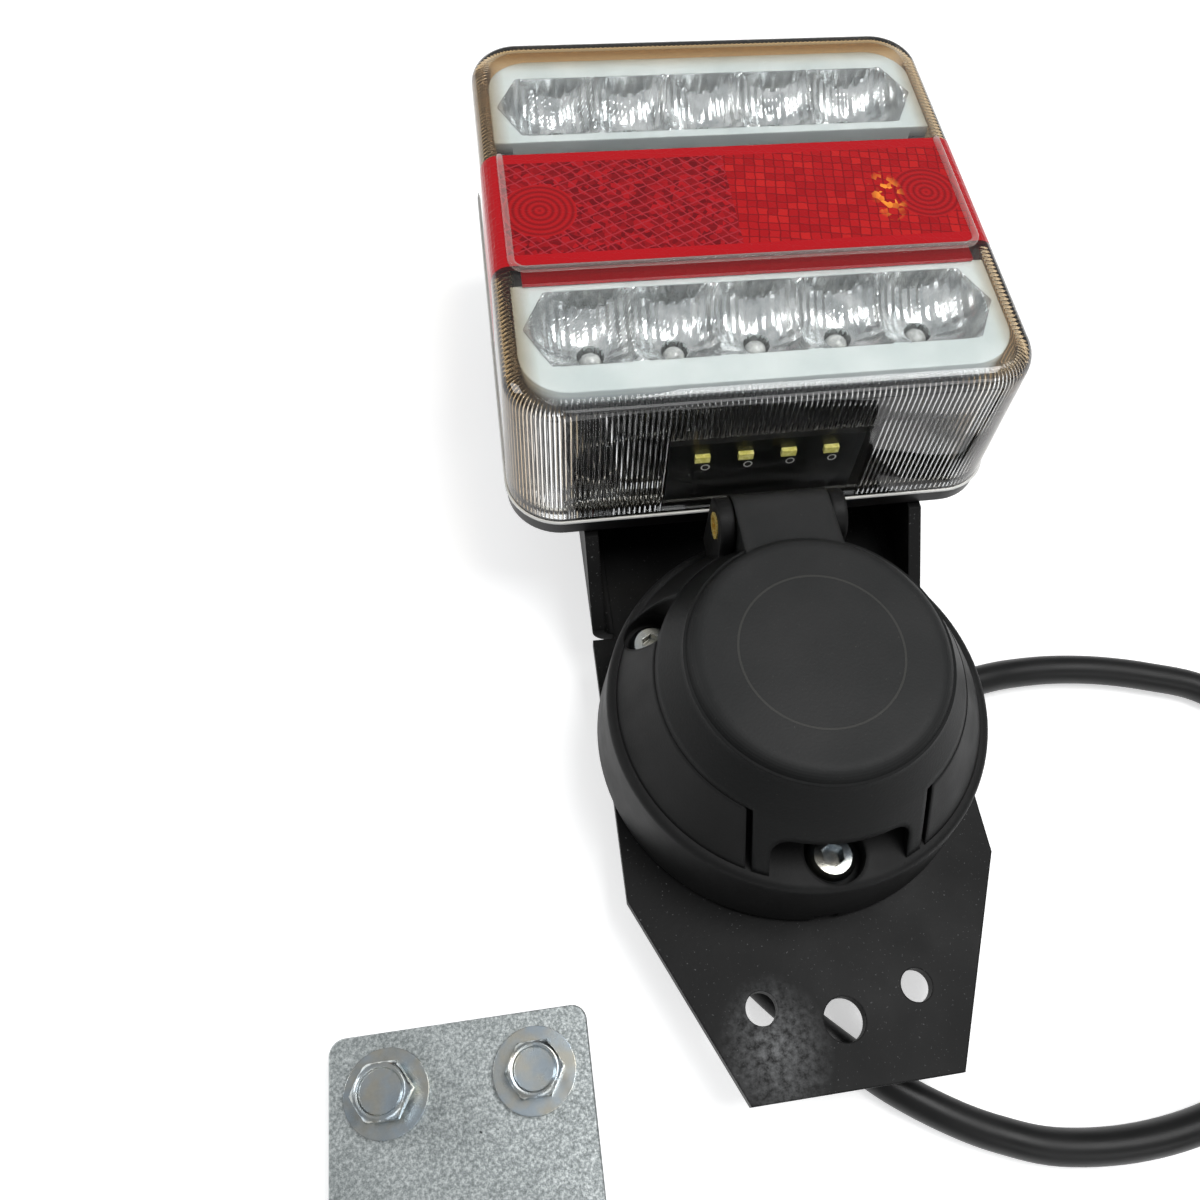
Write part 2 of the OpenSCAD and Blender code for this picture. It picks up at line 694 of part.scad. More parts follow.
module socket_screws() color("silver") at_socket_screws() {
    difference() {
        translate([0, 0, well_z]) rotate_extrude()
            polygon([[0, 0], [screw_head_d / 2, 0], [screw_head_d / 2, screw_head_h * 0.5],
                     [screw_head_d * 0.46, screw_head_h * 0.8], [screw_head_d * 0.39, screw_head_h],
                     [0, screw_head_h]]);
        translate([0, 0, well_z + screw_head_h * 0.3])
            cylinder(d = 0.8 * screw_d * hex_ratio, h = screw_head_h, $fn = 6);
    }
    translate([0, 0, back_z - nut_h - 2]) cylinder(d = screw_d, h = well_z - back_z + nut_h + 2);
}

module socket_nuts() color("silver") at_socket_screws()
    translate([0, 0, back_z - nut_h]) hex_nut(1.6 * screw_d, screw_d, nut_h);

// The cap: a hollow cone with a round top edge, its tongue, and the neck to its knuckle.
module cap_skin(shrink) {
    round_r = 3.2;
    rotate_extrude()
        polygon(concat([[0, cap_z - cut], [cap_r + 0.3 - shrink, cap_z - cut], [cap_r - shrink, cap_z]],
                       arc(cap_top_d / 2 - shrink - round_r + 0.6, cap_top_z - shrink - round_r, round_r, 20, 90),
                       [[0, cap_top_z - shrink]]));
}

module tongue_form(shrink) {
    rotate_extrude()
        polygon([[0, rim_z + fit_gap], [cone_r - 1 - shrink, rim_z + fit_gap],
                 [cap_r - shrink, cap_z], [0, cap_z]]);
}

module cap() color("black") difference() {
    union() {
        at_socket() {
            intersection() {
                difference() {
                    cap_skin(0);
                    cap_skin(cap_t);
                }
                translate([0, 0, cap_z]) cylinder(r = socket_r, h = 2 * cap_h);
            }
            // Tongue
            intersection() {
                difference() {
                    tongue_form(0);
                    translate([0, 0, -cut]) tongue_form(cap_t);
                    cylinder(r = plug_bore_d / 2 + barrel_t + 0.8, h = 80);
                }
                translate([-tongue_w / 2, -socket_r, rim_z]) cube([tongue_w, socket_r, mouth_h]);
            }
        }
        // Rib that presses the seal on the socket's mouth
        at_socket() translate([0, 0, cap_z + seal_t]) difference() {
            cylinder(r = seal_r, h = cap_h - seal_t - cap_t + cut);
            translate([0, 0, -cut]) cylinder(r = seal_bore_r, h = cap_h);
        }
        // Neck and knuckle
        difference() {
            translate([-knuckle_w / 2, pin_y, pin_z]) rotate([90, 0, 90]) linear_extrude(knuckle_w) {
                circle(knuckle_r);
                polygon([[neck_back, cap_top_z - pin_z - 0.8], [neck_back, cap_z - pin_z],
                         [0, cap_z - pin_z], [knuckle_r * sin(15), knuckle_r * cos(15)]]);
            }
            at_socket() cap_skin(cap_t);
        }
    }
    // Slots that let the cap close round the hinge ears
    for (side = [-ear_x - ear_w - fit_gap, ear_x - fit_gap])
        translate([side, pin_y - knuckle_r - 1, cap_z - cut])
            cube([ear_w + 2 * fit_gap, 2 * knuckle_r + 1, cap_h + 2 * cut]);
    // Arch over the front screw
    translate([0, socket_y - socket_r - cut, rim_z + 1]) rotate([-90, 0, 0])
        linear_extrude(socket_r - plug_bore_d / 2) scale([1, -1]) arch_outline();
    translate([0, pin_y, pin_z]) rotate([0, 90, 0]) cylinder(d = pin_d + 0.1, h = 60, center = true);
    // Pocket for the spring
    translate([-4.5, pin_y - knuckle_r - 1, pin_z - knuckle_r - 1])
        cube([9, 2 * knuckle_r + 2, knuckle_r + 1 + pin_d / 2 + 1.3]);
}

module arch_outline() {
    half = tongue_w / 2 - 3;
    rise = 7.5;
    r = 4;
    polygon(concat([[-half, -3], [half, -3]], arc(half - r, rise - r, r, 0, 90),
                   arc(r - half, rise - r, r, 90, 180)));
}

module cap_seal() color("dimgray") at_socket() translate([0, 0, cap_z]) difference() {
    cylinder(r = seal_r, h = seal_t);
    translate([0, 0, -cut]) cylinder(r = seal_bore_r, h = seal_t + 2 * cut);
}

module hinge_pin() color("goldenrod") translate([0, pin_y, pin_z]) rotate([0, 90, 0]) difference() {
    cylinder(d = pin_d, h = pin_len, center = true);
    cylinder(d = pin_bore_d, h = pin_len + 2 * cut, center = true);
}

// The closing spring, wound round the pin in the knuckle's pocket.
module hinge_spring() color("silver") {
    wire = 0.9;
    turns = 7;
    pitch = wire * 0.9;
    translate([-turns * pitch / 2, pin_y, pin_z]) rotate([0, 90, 0]) rotate_extrude()
        difference() {
            polygon(concat([[pin_d / 2 + 0.05, 0]],
                           [for (i = [0:2 * turns]) [pin_d / 2 + (i % 2 == 0 ? 0.6 : 1.0), i * pitch / 2]],
                           [[pin_d / 2 + 0.05, turns * pitch]]));
        }
}

// The cable's route, chosen by hand: x, y and the height above where it lies on the floor
cable_route = [
    [socket_neck_at[0], socket_neck_at[1], neck_lift], [54, 71.2, 1.2], [62, 72.2, 0.4], [73, 72.2, 0],
    [85, 70.6, 0], [97, 67.5, 0], [109, 63, 0], [119, 54, 0], [125, 42, 0], [127, 28, 0], [124, 12, 0],
    [116, -3, 0], [104, -15, 0], [89, -24, 0], [71, -28.4, 0], [55, -29.6, 0], [40, -28, 0],
    [29, -24.2, 0], [20, -19.6, 0], [10, -12.8, 0], [2, -5.5, 0], [-7, 3.5, 0], [-15, 13, 0],
    [-23, 24, 0], [-29, 37, 0], [-32, 50, 0], [-33, 62, 0], [-32, 75, 0], [-28.5, 87, 0.3],
    [-23, 98, 1.2], [lamp_boot_at[0], lamp_boot_at[1] - lamp_neck_len, neck_lift]];
cable_sides = 8;
cable_steps = 2;

function route_point(i, t) =
    let (n = len(cable_route) - 1,
         a = i > 0 ? cable_route[i - 1] : 2 * cable_route[0] - cable_route[1],
         b = cable_route[i], c = cable_route[i + 1],
         d = i + 2 <= n ? cable_route[i + 2] : 2 * cable_route[n] - cable_route[n - 1])
    0.5 * (2 * b + (c - a) * t + (2 * a - 5 * b + 4 * c - d) * t * t
           + (3 * b - a - 3 * c + d) * t * t * t);

// A tube swept along the route.
module cable() color("black") {
    spans = len(cable_route) - 1;
    line = [for (i = [0:spans - 1], k = [0:cable_steps - 1]) route_point(i, k / cable_steps),
            cable_route[spans]];
    last = len(line) - 1;
    sides = cable_sides;
    points = [for (i = [0:last])
        let (run = line[min(i + 1, last)] - line[max(i - 1, 0)], across = [run[1], -run[0], 0] / norm(run))
        for (k = [0:sides - 1])
            let (a = 360 * (k + 0.5) / sides)
            [line[i][0], line[i][1], line[i][2] + cable_z]
            + cable_d / 2 * (across * cos(a) + [0, 0, sin(a)])];
    skin = [for (i = [0:last - 1], k = [0:sides - 1])
        let (a = i * sides + k, b = i * sides + (k + 1) % sides) [a, a + sides, b + sides, b]];
    polyhedron(points, concat(skin, [[for (k = [0:sides - 1]) k]],
                              [[for (k = [sides - 1:-1:0]) last * sides + k]]));
}

module at_plate() { translate([plate_mid_x, 0, 0]) children(); }

module fixing_plate() color("lightgray") at_plate() difference() {
    translate([-plate_w / 2, plate_top_y - plate_l, plate_z]) cube([plate_w, plate_l, plate_t]);
    for (side = [-1, 1]) translate([side * bolt_span / 2, bolt_y, plate_z - cut])
        cylinder(d = bolt_d + 0.4, h = plate_t + 2 * cut);
}

function bolt_raise(side) = side < 0 ? bolt_lift : 0;

module plate_washers() color("silver") at_plate()
    for (side = [-1, 1]) translate([side * bolt_span / 2, bolt_y, plate_z + plate_t])
        washer(washer_d, bolt_d, plate_washer_t);

module plate_bolts() color("silver") at_plate()
    for (side = [-1, 1])
        translate([side * bolt_span / 2, bolt_y, plate_z + plate_t + plate_washer_t + bolt_raise(side)]) {
            cylinder(d = bolt_flats * hex_ratio, h = bolt_head_h, $fn = 6);
            translate([0, 0, floor_z - plate_z - plate_t - plate_washer_t])
                cylinder(d = bolt_d, h = plate_z + plate_t + plate_washer_t - floor_z);
        }

module plate_nuts() color("silver") at_plate()
    for (side = [-1, 1]) translate([side * bolt_span / 2, bolt_y, floor_z]) hex_nut(bolt_flats, bolt_d, nut_m6_h);

bracket();
left_flange();
right_flange();
lamp_base();
lens();
red_reflector();
upper_reflector();
lower_reflector();
led_board();
upper_leds();
lower_leds();
plate_light_board();
plate_light_leds();
lamp_studs();
lamp_washers();
lamp_nuts();
lamp_boot();
socket_base();
socket_collar();
socket_barrel();
socket_gasket();
carrier_plate();
contact_carrier();
contacts();
socket_boot();
socket_screws();
socket_nuts();
cap();
cap_seal();
hinge_pin();
hinge_spring();
cable();
fixing_plate();
plate_washers();
plate_bolts();
plate_nuts();
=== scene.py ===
import math

import bpy
import numpy as np
from mathutils import Matrix, Vector


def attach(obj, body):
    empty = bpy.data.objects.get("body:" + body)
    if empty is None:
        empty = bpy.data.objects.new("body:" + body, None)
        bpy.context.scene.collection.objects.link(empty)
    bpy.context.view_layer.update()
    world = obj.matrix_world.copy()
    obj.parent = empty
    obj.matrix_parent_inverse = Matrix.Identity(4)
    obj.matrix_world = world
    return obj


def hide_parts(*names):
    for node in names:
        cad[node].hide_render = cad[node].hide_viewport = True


# Trailer light set: lamp and seven-pin socket on a folded bracket, their cable, and a fixing
# plate. Sizes are in millimetres unless a comment says metres, and repeat the part's own; times
# MM, they are metres. The lamp's face looks up and its number-plate window looks along -y.
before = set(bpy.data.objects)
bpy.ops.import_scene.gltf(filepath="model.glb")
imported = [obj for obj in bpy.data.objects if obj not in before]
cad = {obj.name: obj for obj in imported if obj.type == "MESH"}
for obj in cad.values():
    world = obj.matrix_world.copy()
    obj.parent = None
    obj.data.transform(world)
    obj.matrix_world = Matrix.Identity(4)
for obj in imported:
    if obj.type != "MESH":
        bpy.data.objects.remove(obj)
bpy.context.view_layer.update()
scene = bpy.context.scene
MM = 0.001

FLOOR_Z = -16.0
SOCKET_Y = 60.0

# The lamp's outline from above: middle, half width and half length, and corner radius
LAMP_MID_Y = 161.5
LAMP_HALF = (55.0, 56.5)
LAMP_CORNER = 12.0

# The lens: where its wall starts, its face, its wall's thickness and lean, and its round edge
LENS_FOOT_Z = 22.5
FACE_Z = 59.5
LENS_WALL = 2.2
LENS_DRAFT = 1.0
LENS_EDGE = 4.0
WINDOW_HALF_W = 22.0

# The red band: from where to where, and how far it reaches down the sides
BAND_Y = (143.5, 176.5)
BAND_DROP = 24.0

# The two rows of bowls, and the diodes in them
HOUSING_Z = 56.3
BAY_PITCH = 17.6
BAY_HALF_W = 9.8
BOWL_R = 12.5
BOWL_DEPTH = 9.5
UPPER_BAY_Y = 195.0
LOWER_BAY_Y = 128.3
CHIP_PITCH = 9.3


# Camera

CAMERA_AT = (-54.0, -15.1, 211.3)
CAMERA_FORWARD = (0.1283, 0.4595, -0.8789)
CAMERA_UP = (0.0976, 0.876, 0.4723)


def place_camera():
    """The camera fitted to the photograph: a 30.8 mm lens on a 36 mm frame, close above the
    bracket's drilled end."""
    data = bpy.data.cameras.new("camera")
    data.sensor_width = 36.0
    data.lens = 30.76
    data.shift_x = -0.0466
    data.shift_y = 0.0014
    data.clip_start = 0.01
    camera = bpy.data.objects.new("camera", data)
    scene.collection.objects.link(camera)
    forward = Vector(CAMERA_FORWARD).normalized()
    right = forward.cross(Vector(CAMERA_UP)).normalized()
    up = right.cross(forward)
    turn = Matrix((right, up, -forward)).transposed().to_4x4()
    camera.matrix_world = Matrix.Translation(Vector(CAMERA_AT) * MM) @ turn
    scene.camera = camera


place_camera()


# Meshes from grids

def grid_quads(rows, columns, around=True, along=False):
    """Faces of a grid of points: each joins a point, its neighbour in the row, and the two
    above them. around closes each row on itself, along closes the last row to the first."""
    i = np.arange(rows if along else rows - 1)[:, None]
    j = np.arange(columns if around else columns - 1)[None, :]
    k = (j + 1) % columns
    up = (i + 1) % rows * columns
    return np.stack([i * columns + j, i * columns + k, up + k, up + j], -1).reshape(-1, 4)


def add_piece(name, points, faces, material, body="root", flat=False):
    """A piece of the object, from points in millimetres."""
    mesh = bpy.data.meshes.new(name)
    mesh.from_pydata((np.asarray(points).reshape(-1, 3) * MM).tolist(), [], faces)
    mesh.validate()
    mesh.shade_flat() if flat else mesh.shade_smooth()
    mesh.materials.append(material)
    piece = bpy.data.objects.new(name, mesh)
    scene.collection.objects.link(piece)
    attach(piece, body)
    return piece


def tube(path, radius, sides=16, closed=False):
    """Points and faces of a round tube: at each point of the path, a circle in the plane
    across the path, where across = run x up and rise = across x run."""
    path = np.asarray(path, float)
    if closed:
        run = np.roll(path, -1, 0) - np.roll(path, 1, 0)
    else:
        run = np.gradient(path, axis=0)
    run /= np.linalg.norm(run, axis=1)[:, None]
    across = np.cross(run, [0.0, 0.0, 1.0])
    across /= np.linalg.norm(across, axis=1)[:, None]
    rise = np.cross(across, run)
    angle = np.arange(sides) * 2 * math.pi / sides
    ring = across[:, None] * np.cos(angle)[:, None] + rise[:, None] * np.sin(angle)[:, None]
    points = path[:, None] + ring * radius
    faces = grid_quads(len(path), sides, along=closed)[:, ::-1].tolist()
    if not closed:
        faces.append(list(range(sides)))
        faces.append(list(range(len(path) * sides - 1, (len(path) - 1) * sides - 1, -1)))
    return points.reshape(-1, 3), faces


def through(points, steps):
    """A smooth line through points: between b and c, with their neighbours a and d, it is
    half of 2b + (c-a)t + (2a-5b+4c-d)t^2 + (3b-a-3c+d)t^3."""
    p = np.asarray(points, float)
    p = np.vstack([2 * p[0] - p[1], p, 2 * p[-1] - p[-2]])
    t = (np.arange(steps) / steps)[None, :, None]
    a, b, c, d = (p[k:len(p) - 3 + k][:, None] for k in range(4))
    line = 0.5 * (2 * b + (c - a) * t + (2 * a - 5 * b + 4 * c - d) * t ** 2
                  + (3 * b - a - 3 * c + d) * t ** 3)
    return np.vstack([line.reshape(-1, 3), p[-2]])


def lamp_outline(count, inset):
    """Points round the lamp at even distances s along a rectangle with round corners, moved
    in by inset: the centre line's point plus (corner radius - inset) times the outward
    direction. Returns the x, y pairs and the distances s."""
    hx = LAMP_HALF[0] - LAMP_CORNER
    hy = LAMP_HALF[1] - LAMP_CORNER
    quarter = math.pi * LAMP_CORNER / 2
    ends = np.cumsum([0, 2 * hx, quarter, 2 * hy, quarter, 2 * hx, quarter, 2 * hy, quarter])
    s = np.arange(count) * ends[-1] / count
    part = np.searchsorted(ends, s, side="right") - 1
    t = s - ends[part]
    turn = np.where(part % 2 == 1, t / LAMP_CORNER, 0.0)
    angle = np.radians(90.0 * (part // 2) - 90) + turn
    start = np.array([(-hx, -hy), (hx, -hy), (hx, -hy), (hx, hy), (hx, hy), (-hx, hy),
                      (-hx, hy), (-hx, -hy)])
    way = np.array([(1, 0), (0, 0), (0, 1), (0, 0), (-1, 0), (0, 0), (0, -1), (0, 0)])
    line = start[part] + way[part] * t[:, None] + (0, LAMP_MID_Y)
    outward = np.stack([np.cos(angle), np.sin(angle)], -1)
    reach = np.broadcast_to(LAMP_CORNER - np.asarray(inset, float), s.shape)
    return line + outward * reach[:, None], s


# Colours and nodes

def colour(code, alpha=1.0):
    """An sRGB hex value as linear red, green and blue."""
    parts = [int(code[k:k + 2], 16) / 255 for k in (1, 3, 5)]
    linear = [p / 12.92 if p <= 0.04045 else ((p + 0.055) / 1.055) ** 2.4 for p in parts]
    return (*linear, alpha)


def node(tree, kind, inputs=None, stops=(), **settings):
    """Adds a node and sets its fields and inputs. A socket given as an input is linked, a
    node given as one stands for its first output, and a hex value for its colour. stops
    are a ramp's positions and hex values."""
    made = tree.nodes.new("ShaderNode" + kind)
    for name, value in settings.items():
        setattr(made, name, value)
    for k, (position, code) in enumerate(stops):
        elements = made.color_ramp.elements
        element = elements[k] if k < 2 else elements.new(position)
        element.position = position
        element.color = colour(code)
    for key, value in (inputs or {}).items():
        if isinstance(value, bpy.types.Node):
            value = value.outputs[0]
        if isinstance(value, bpy.types.NodeSocket):
            tree.links.new(value, made.inputs[key])
        else:
            made.inputs[key].default_value = colour(value) if isinstance(value, str) else value
    return made


def start(name):
    """A new material, its node tree and its Object coordinates, which are in metres."""
    made = bpy.data.materials.new(name)
    made.use_nodes = True
    tree = made.node_tree
    tree.nodes.clear()
    return made, tree, node(tree, "TexCoord").outputs["Object"]


def close(made, tree, shader):
    """Joins the finished shader to the material's output."""
    node(tree, "OutputMaterial", {"Surface": shader})
    return made


def how_far(tree, place, middle, shares):
    """The distance from middle, once x, y and z are each times their share."""
    offset = node(tree, "VectorMath", {0: place, 1: middle}, operation="SUBTRACT")
    shared = node(tree, "VectorMath", {0: offset, 1: shares}, operation="MULTIPLY")
    return node(tree, "VectorMath", {0: shared}, operation="LENGTH").outputs["Value"]


# Materials. A noise Scale of 1000 / n gives patches n mm across

def moulded(name, low, high, rough, grain, depth, level=0.16, edge=0.6):
    """A moulded plastic or rubber: its colour drifts over 30 mm, its skin has a fine grain of
    the given size and depth in millimetres, and its edges are softened by edge millimetres."""
    made, tree, place = start(name)
    drift = node(tree, "TexNoise", {"Vector": place, "Scale": 1000 / 30, "Detail": 5.0})
    skin = node(tree, "TexNoise", {"Vector": place, "Scale": 1000 / 9, "Detail": 6.0})
    fine = node(tree, "TexNoise", {"Vector": place, "Scale": 1000 / grain})
    base = node(tree, "ValToRGB", {"Fac": drift}, [(0.35, low), (0.65, high)])
    matt = node(tree, "MapRange", {"Value": skin, "From Min": 0.3, "From Max": 0.7,
                                   "To Min": rough - 0.06, "To Max": rough + 0.06})
    soft = node(tree, "Bevel", {"Radius": edge * MM}, samples=4)
    normal = node(tree, "Bump", {"Height": fine, "Distance": depth * MM, "Strength": 0.6,
                                 "Normal": soft})
    return close(made, tree, node(tree, "BsdfPrincipled", {
        "Base Color": base, "Roughness": matt, "IOR": 1.5, "Specular IOR Level": level,
        "Normal": normal}))


def moulded_cap_nylon():
    """Spark-eroded black nylon of the cap: a fine sandy grain of 0.5 mm, grey dust specks,
    faces that look up lighter than the sides, partly settled dust and partly painted sheen,
    with painted shade that takes the sides to near black, and the faint ring 15.7 mm out that
    the mould's insert left."""
    ring_r = 15.7 * MM
    ring_half_w = 0.22 * MM
    made, tree, place = start("moulded_cap_nylon")
    drift = node(tree, "TexNoise", {"Vector": place, "Scale": 1000 / 30, "Detail": 6.0})
    grain = node(tree, "TexNoise", {"Vector": place, "Scale": 1000 / 0.5, "Detail": 3.0})
    dust = node(tree, "TexNoise", {"Vector": place, "Scale": 1000 / 0.9, "Detail": 4.0,
                                   "Roughness": 0.75})
    specks = node(tree, "MapRange", {"Value": dust, "From Min": 0.66, "From Max": 0.74,
                                     "To Max": 0.22})
    away = how_far(tree, place, (0.0, SOCKET_Y * MM, 0.0), (1.0, 1.0, 0.0))
    from_ring = node(tree, "Math", {0: away, 1: ring_r, 2: ring_half_w},
                     operation="COMPARE")
    base = node(tree, "ValToRGB", {"Fac": drift}, [(0.35, "#202121"), (0.65, "#2b2b2b")])
    # Faces that look up keep the lighter base, partly settled dust and partly painted sheen;
    # the sides and underside fall to near black #080909, painted shade
    upward = node(tree, "SeparateXYZ", {"Vector": node(tree, "NewGeometry").outputs["Normal"]})
    upward_dust_and_sheen = node(tree, "MapRange", {"Value": upward.outputs["Z"], "From Min": 0.6,
                                      "From Max": 0.97})
    with_painted_side_shade = node(tree, "Mix", {0: upward_dust_and_sheen, 6: "#080909", 7: base}, data_type="RGBA")
    in_ring = node(tree, "Math", {0: from_ring, 1: 0.16}, operation="MULTIPLY")
    caught = node(tree, "Math", {0: in_ring, 1: specks}, operation="MAXIMUM")
    dusty = node(tree, "Mix", {0: caught, 6: with_painted_side_shade.outputs[2], 7: "#6a6963"},
                 data_type="RGBA")
    soft = node(tree, "Bevel", {"Radius": 1.6 * MM}, samples=6)
    groove = node(tree, "Bump", {"Height": from_ring, "Distance": 0.3 * MM, "Normal": soft},
                  invert=True)
    normal = node(tree, "Bump", {"Height": grain, "Distance": 0.05 * MM, "Strength": 0.8,
                                 "Normal": groove})
    return close(made, tree, node(tree, "BsdfPrincipled", {
        "Base Color": dusty.outputs[2], "Roughness": 0.5, "Specular IOR Level": 0.16,
        "Normal": normal}))


def powder_coated_steel():
    """Folded steel sheet, powder coated black: a satin skin with a fine orange peel of 1.6 mm,
    dust specks under 1 mm, and a rubbed grey patch at the drilled end."""
    patch_middle = (-14.5 * MM, -3.5 * MM, 0.0)
    per_patch = (88.0, 70.0, 60.0)  # one over its half widths in metres
    made, tree, place = start("powder_coated_steel")
    peel = node(tree, "TexNoise", {"Vector": place, "Scale": 1000 / 1.6, "Detail": 3.0})
    dust = node(tree, "TexNoise", {"Vector": place, "Scale": 1000 / 0.7, "Roughness": 0.7})
    drift = node(tree, "TexNoise", {"Vector": place, "Scale": 1000 / 16, "Detail": 6.0})
    streak = node(tree, "TexNoise", {"Vector": place, "Scale": 1000 / 1.5, "Detail": 6.0,
                                     "Roughness": 0.7})
    base = node(tree, "ValToRGB", {"Fac": drift}, [(0.3, "#0f0f0f"), (0.7, "#191919")])
    away = how_far(tree, place, patch_middle, per_patch)
    patch = node(tree, "Math", {0: 1.0, 1: away}, operation="SUBTRACT", use_clamp=True)
    worn = node(tree, "MapRange", {"Value": streak, "From Min": 0.38, "From Max": 0.7})
    scuff = node(tree, "Math", {0: patch, 1: worn}, operation="MULTIPLY")
    specks = node(tree, "MapRange", {"Value": dust, "From Min": 0.66, "From Max": 0.74,
                                     "To Max": 0.4})
    rubbed = node(tree, "Math", {0: scuff, 1: specks}, operation="MAXIMUM")
    shown = node(tree, "Mix", {0: rubbed, 6: base, 7: "#7a7b7c"}, data_type="RGBA")
    matt = node(tree, "MapRange", {"Value": drift, "From Min": 0.3, "From Max": 0.7,
                                   "To Min": 0.4, "To Max": 0.54})
    soft = node(tree, "Bevel", {"Radius": 0.5 * MM}, samples=4)
    normal = node(tree, "Bump", {"Height": peel, "Distance": 0.06 * MM, "Strength": 0.6,
                                 "Normal": soft})
    return close(made, tree, node(tree, "BsdfPrincipled", {
        "Base Color": shown.outputs[2], "Roughness": matt, "Specular IOR Level": 0.12,
        "Normal": normal}))


def clear_acrylic():
    """Injection-moulded acrylic: clear and glossy, with a painted brown reflection of the room
    tinting its two side walls and its far wall. Light passes it without a shadow of its own."""
    side_from, side_full = 46.5 * MM, 52.5 * MM
    far_from, far_full = 206.5 * MM, 211.5 * MM
    made, tree, place = start("clear_acrylic")
    x, y, _ = node(tree, "SeparateXYZ", {"Vector": place}).outputs
    out = node(tree, "Math", {0: x}, operation="ABSOLUTE")
    side = node(tree, "MapRange", {"Value": out, "From Min": side_from, "From Max": side_full})
    top = node(tree, "MapRange", {"Value": y, "From Min": far_from, "From Max": far_full})
    edge = node(tree, "Math", {0: side, 1: top}, operation="MAXIMUM")
    # Painted reflection: the side walls and the far wall take a brown tint that stands for the
    # room
    painted_room_reflection = node(tree, "ValToRGB", {"Fac": edge}, [(0.0, "#f8f9f9"), (1.0, "#b0946a")])
    ripple = node(tree, "TexNoise", {"Vector": place, "Scale": 1000 / 25})
    normal = node(tree, "Bump", {"Height": ripple, "Distance": 0.05 * MM, "Strength": 0.15})
    glass = node(tree, "BsdfPrincipled", {
        "Base Color": painted_room_reflection, "Roughness": 0.02, "IOR": 1.49, "Transmission Weight": 1.0,
        "Normal": normal})
    open_way = node(tree, "BsdfTransparent", {"Color": "#f2efe8"})
    rays = node(tree, "LightPath")
    return close(made, tree, node(tree, "MixShader", {
        0: rays.outputs["Is Shadow Ray"], 1: glass, 2: open_way}))


def beaded_acrylic():
    """A clear bead moulded on the lens: mostly seen through, with a painted pale line of gloss.
    """
    made, tree, place = start("beaded_acrylic")
    ripple = node(tree, "TexNoise", {"Vector": place, "Scale": 1000 / 6})
    normal = node(tree, "Bump", {"Height": ripple, "Distance": 0.03 * MM, "Strength": 0.3})
    # Painted reflection: a pale pinkish opaque skin, shown more at grazing angles, stands in
    # for the bead's gloss
    skin = node(tree, "BsdfPrincipled", {
        "Base Color": "#e6d2ce", "Roughness": 0.08, "IOR": 1.49, "Normal": normal})
    through_it = node(tree, "BsdfTransparent", {"Color": "#fbfbfb"})
    rim = node(tree, "LayerWeight", {"Blend": 0.35}).outputs["Facing"]
    painted_gloss_share = node(tree, "MapRange", {"Value": rim, "To Min": 0.07, "To Max": 0.6})
    return close(made, tree, node(tree, "MixShader", {0: painted_gloss_share, 1: through_it, 2: skin}))


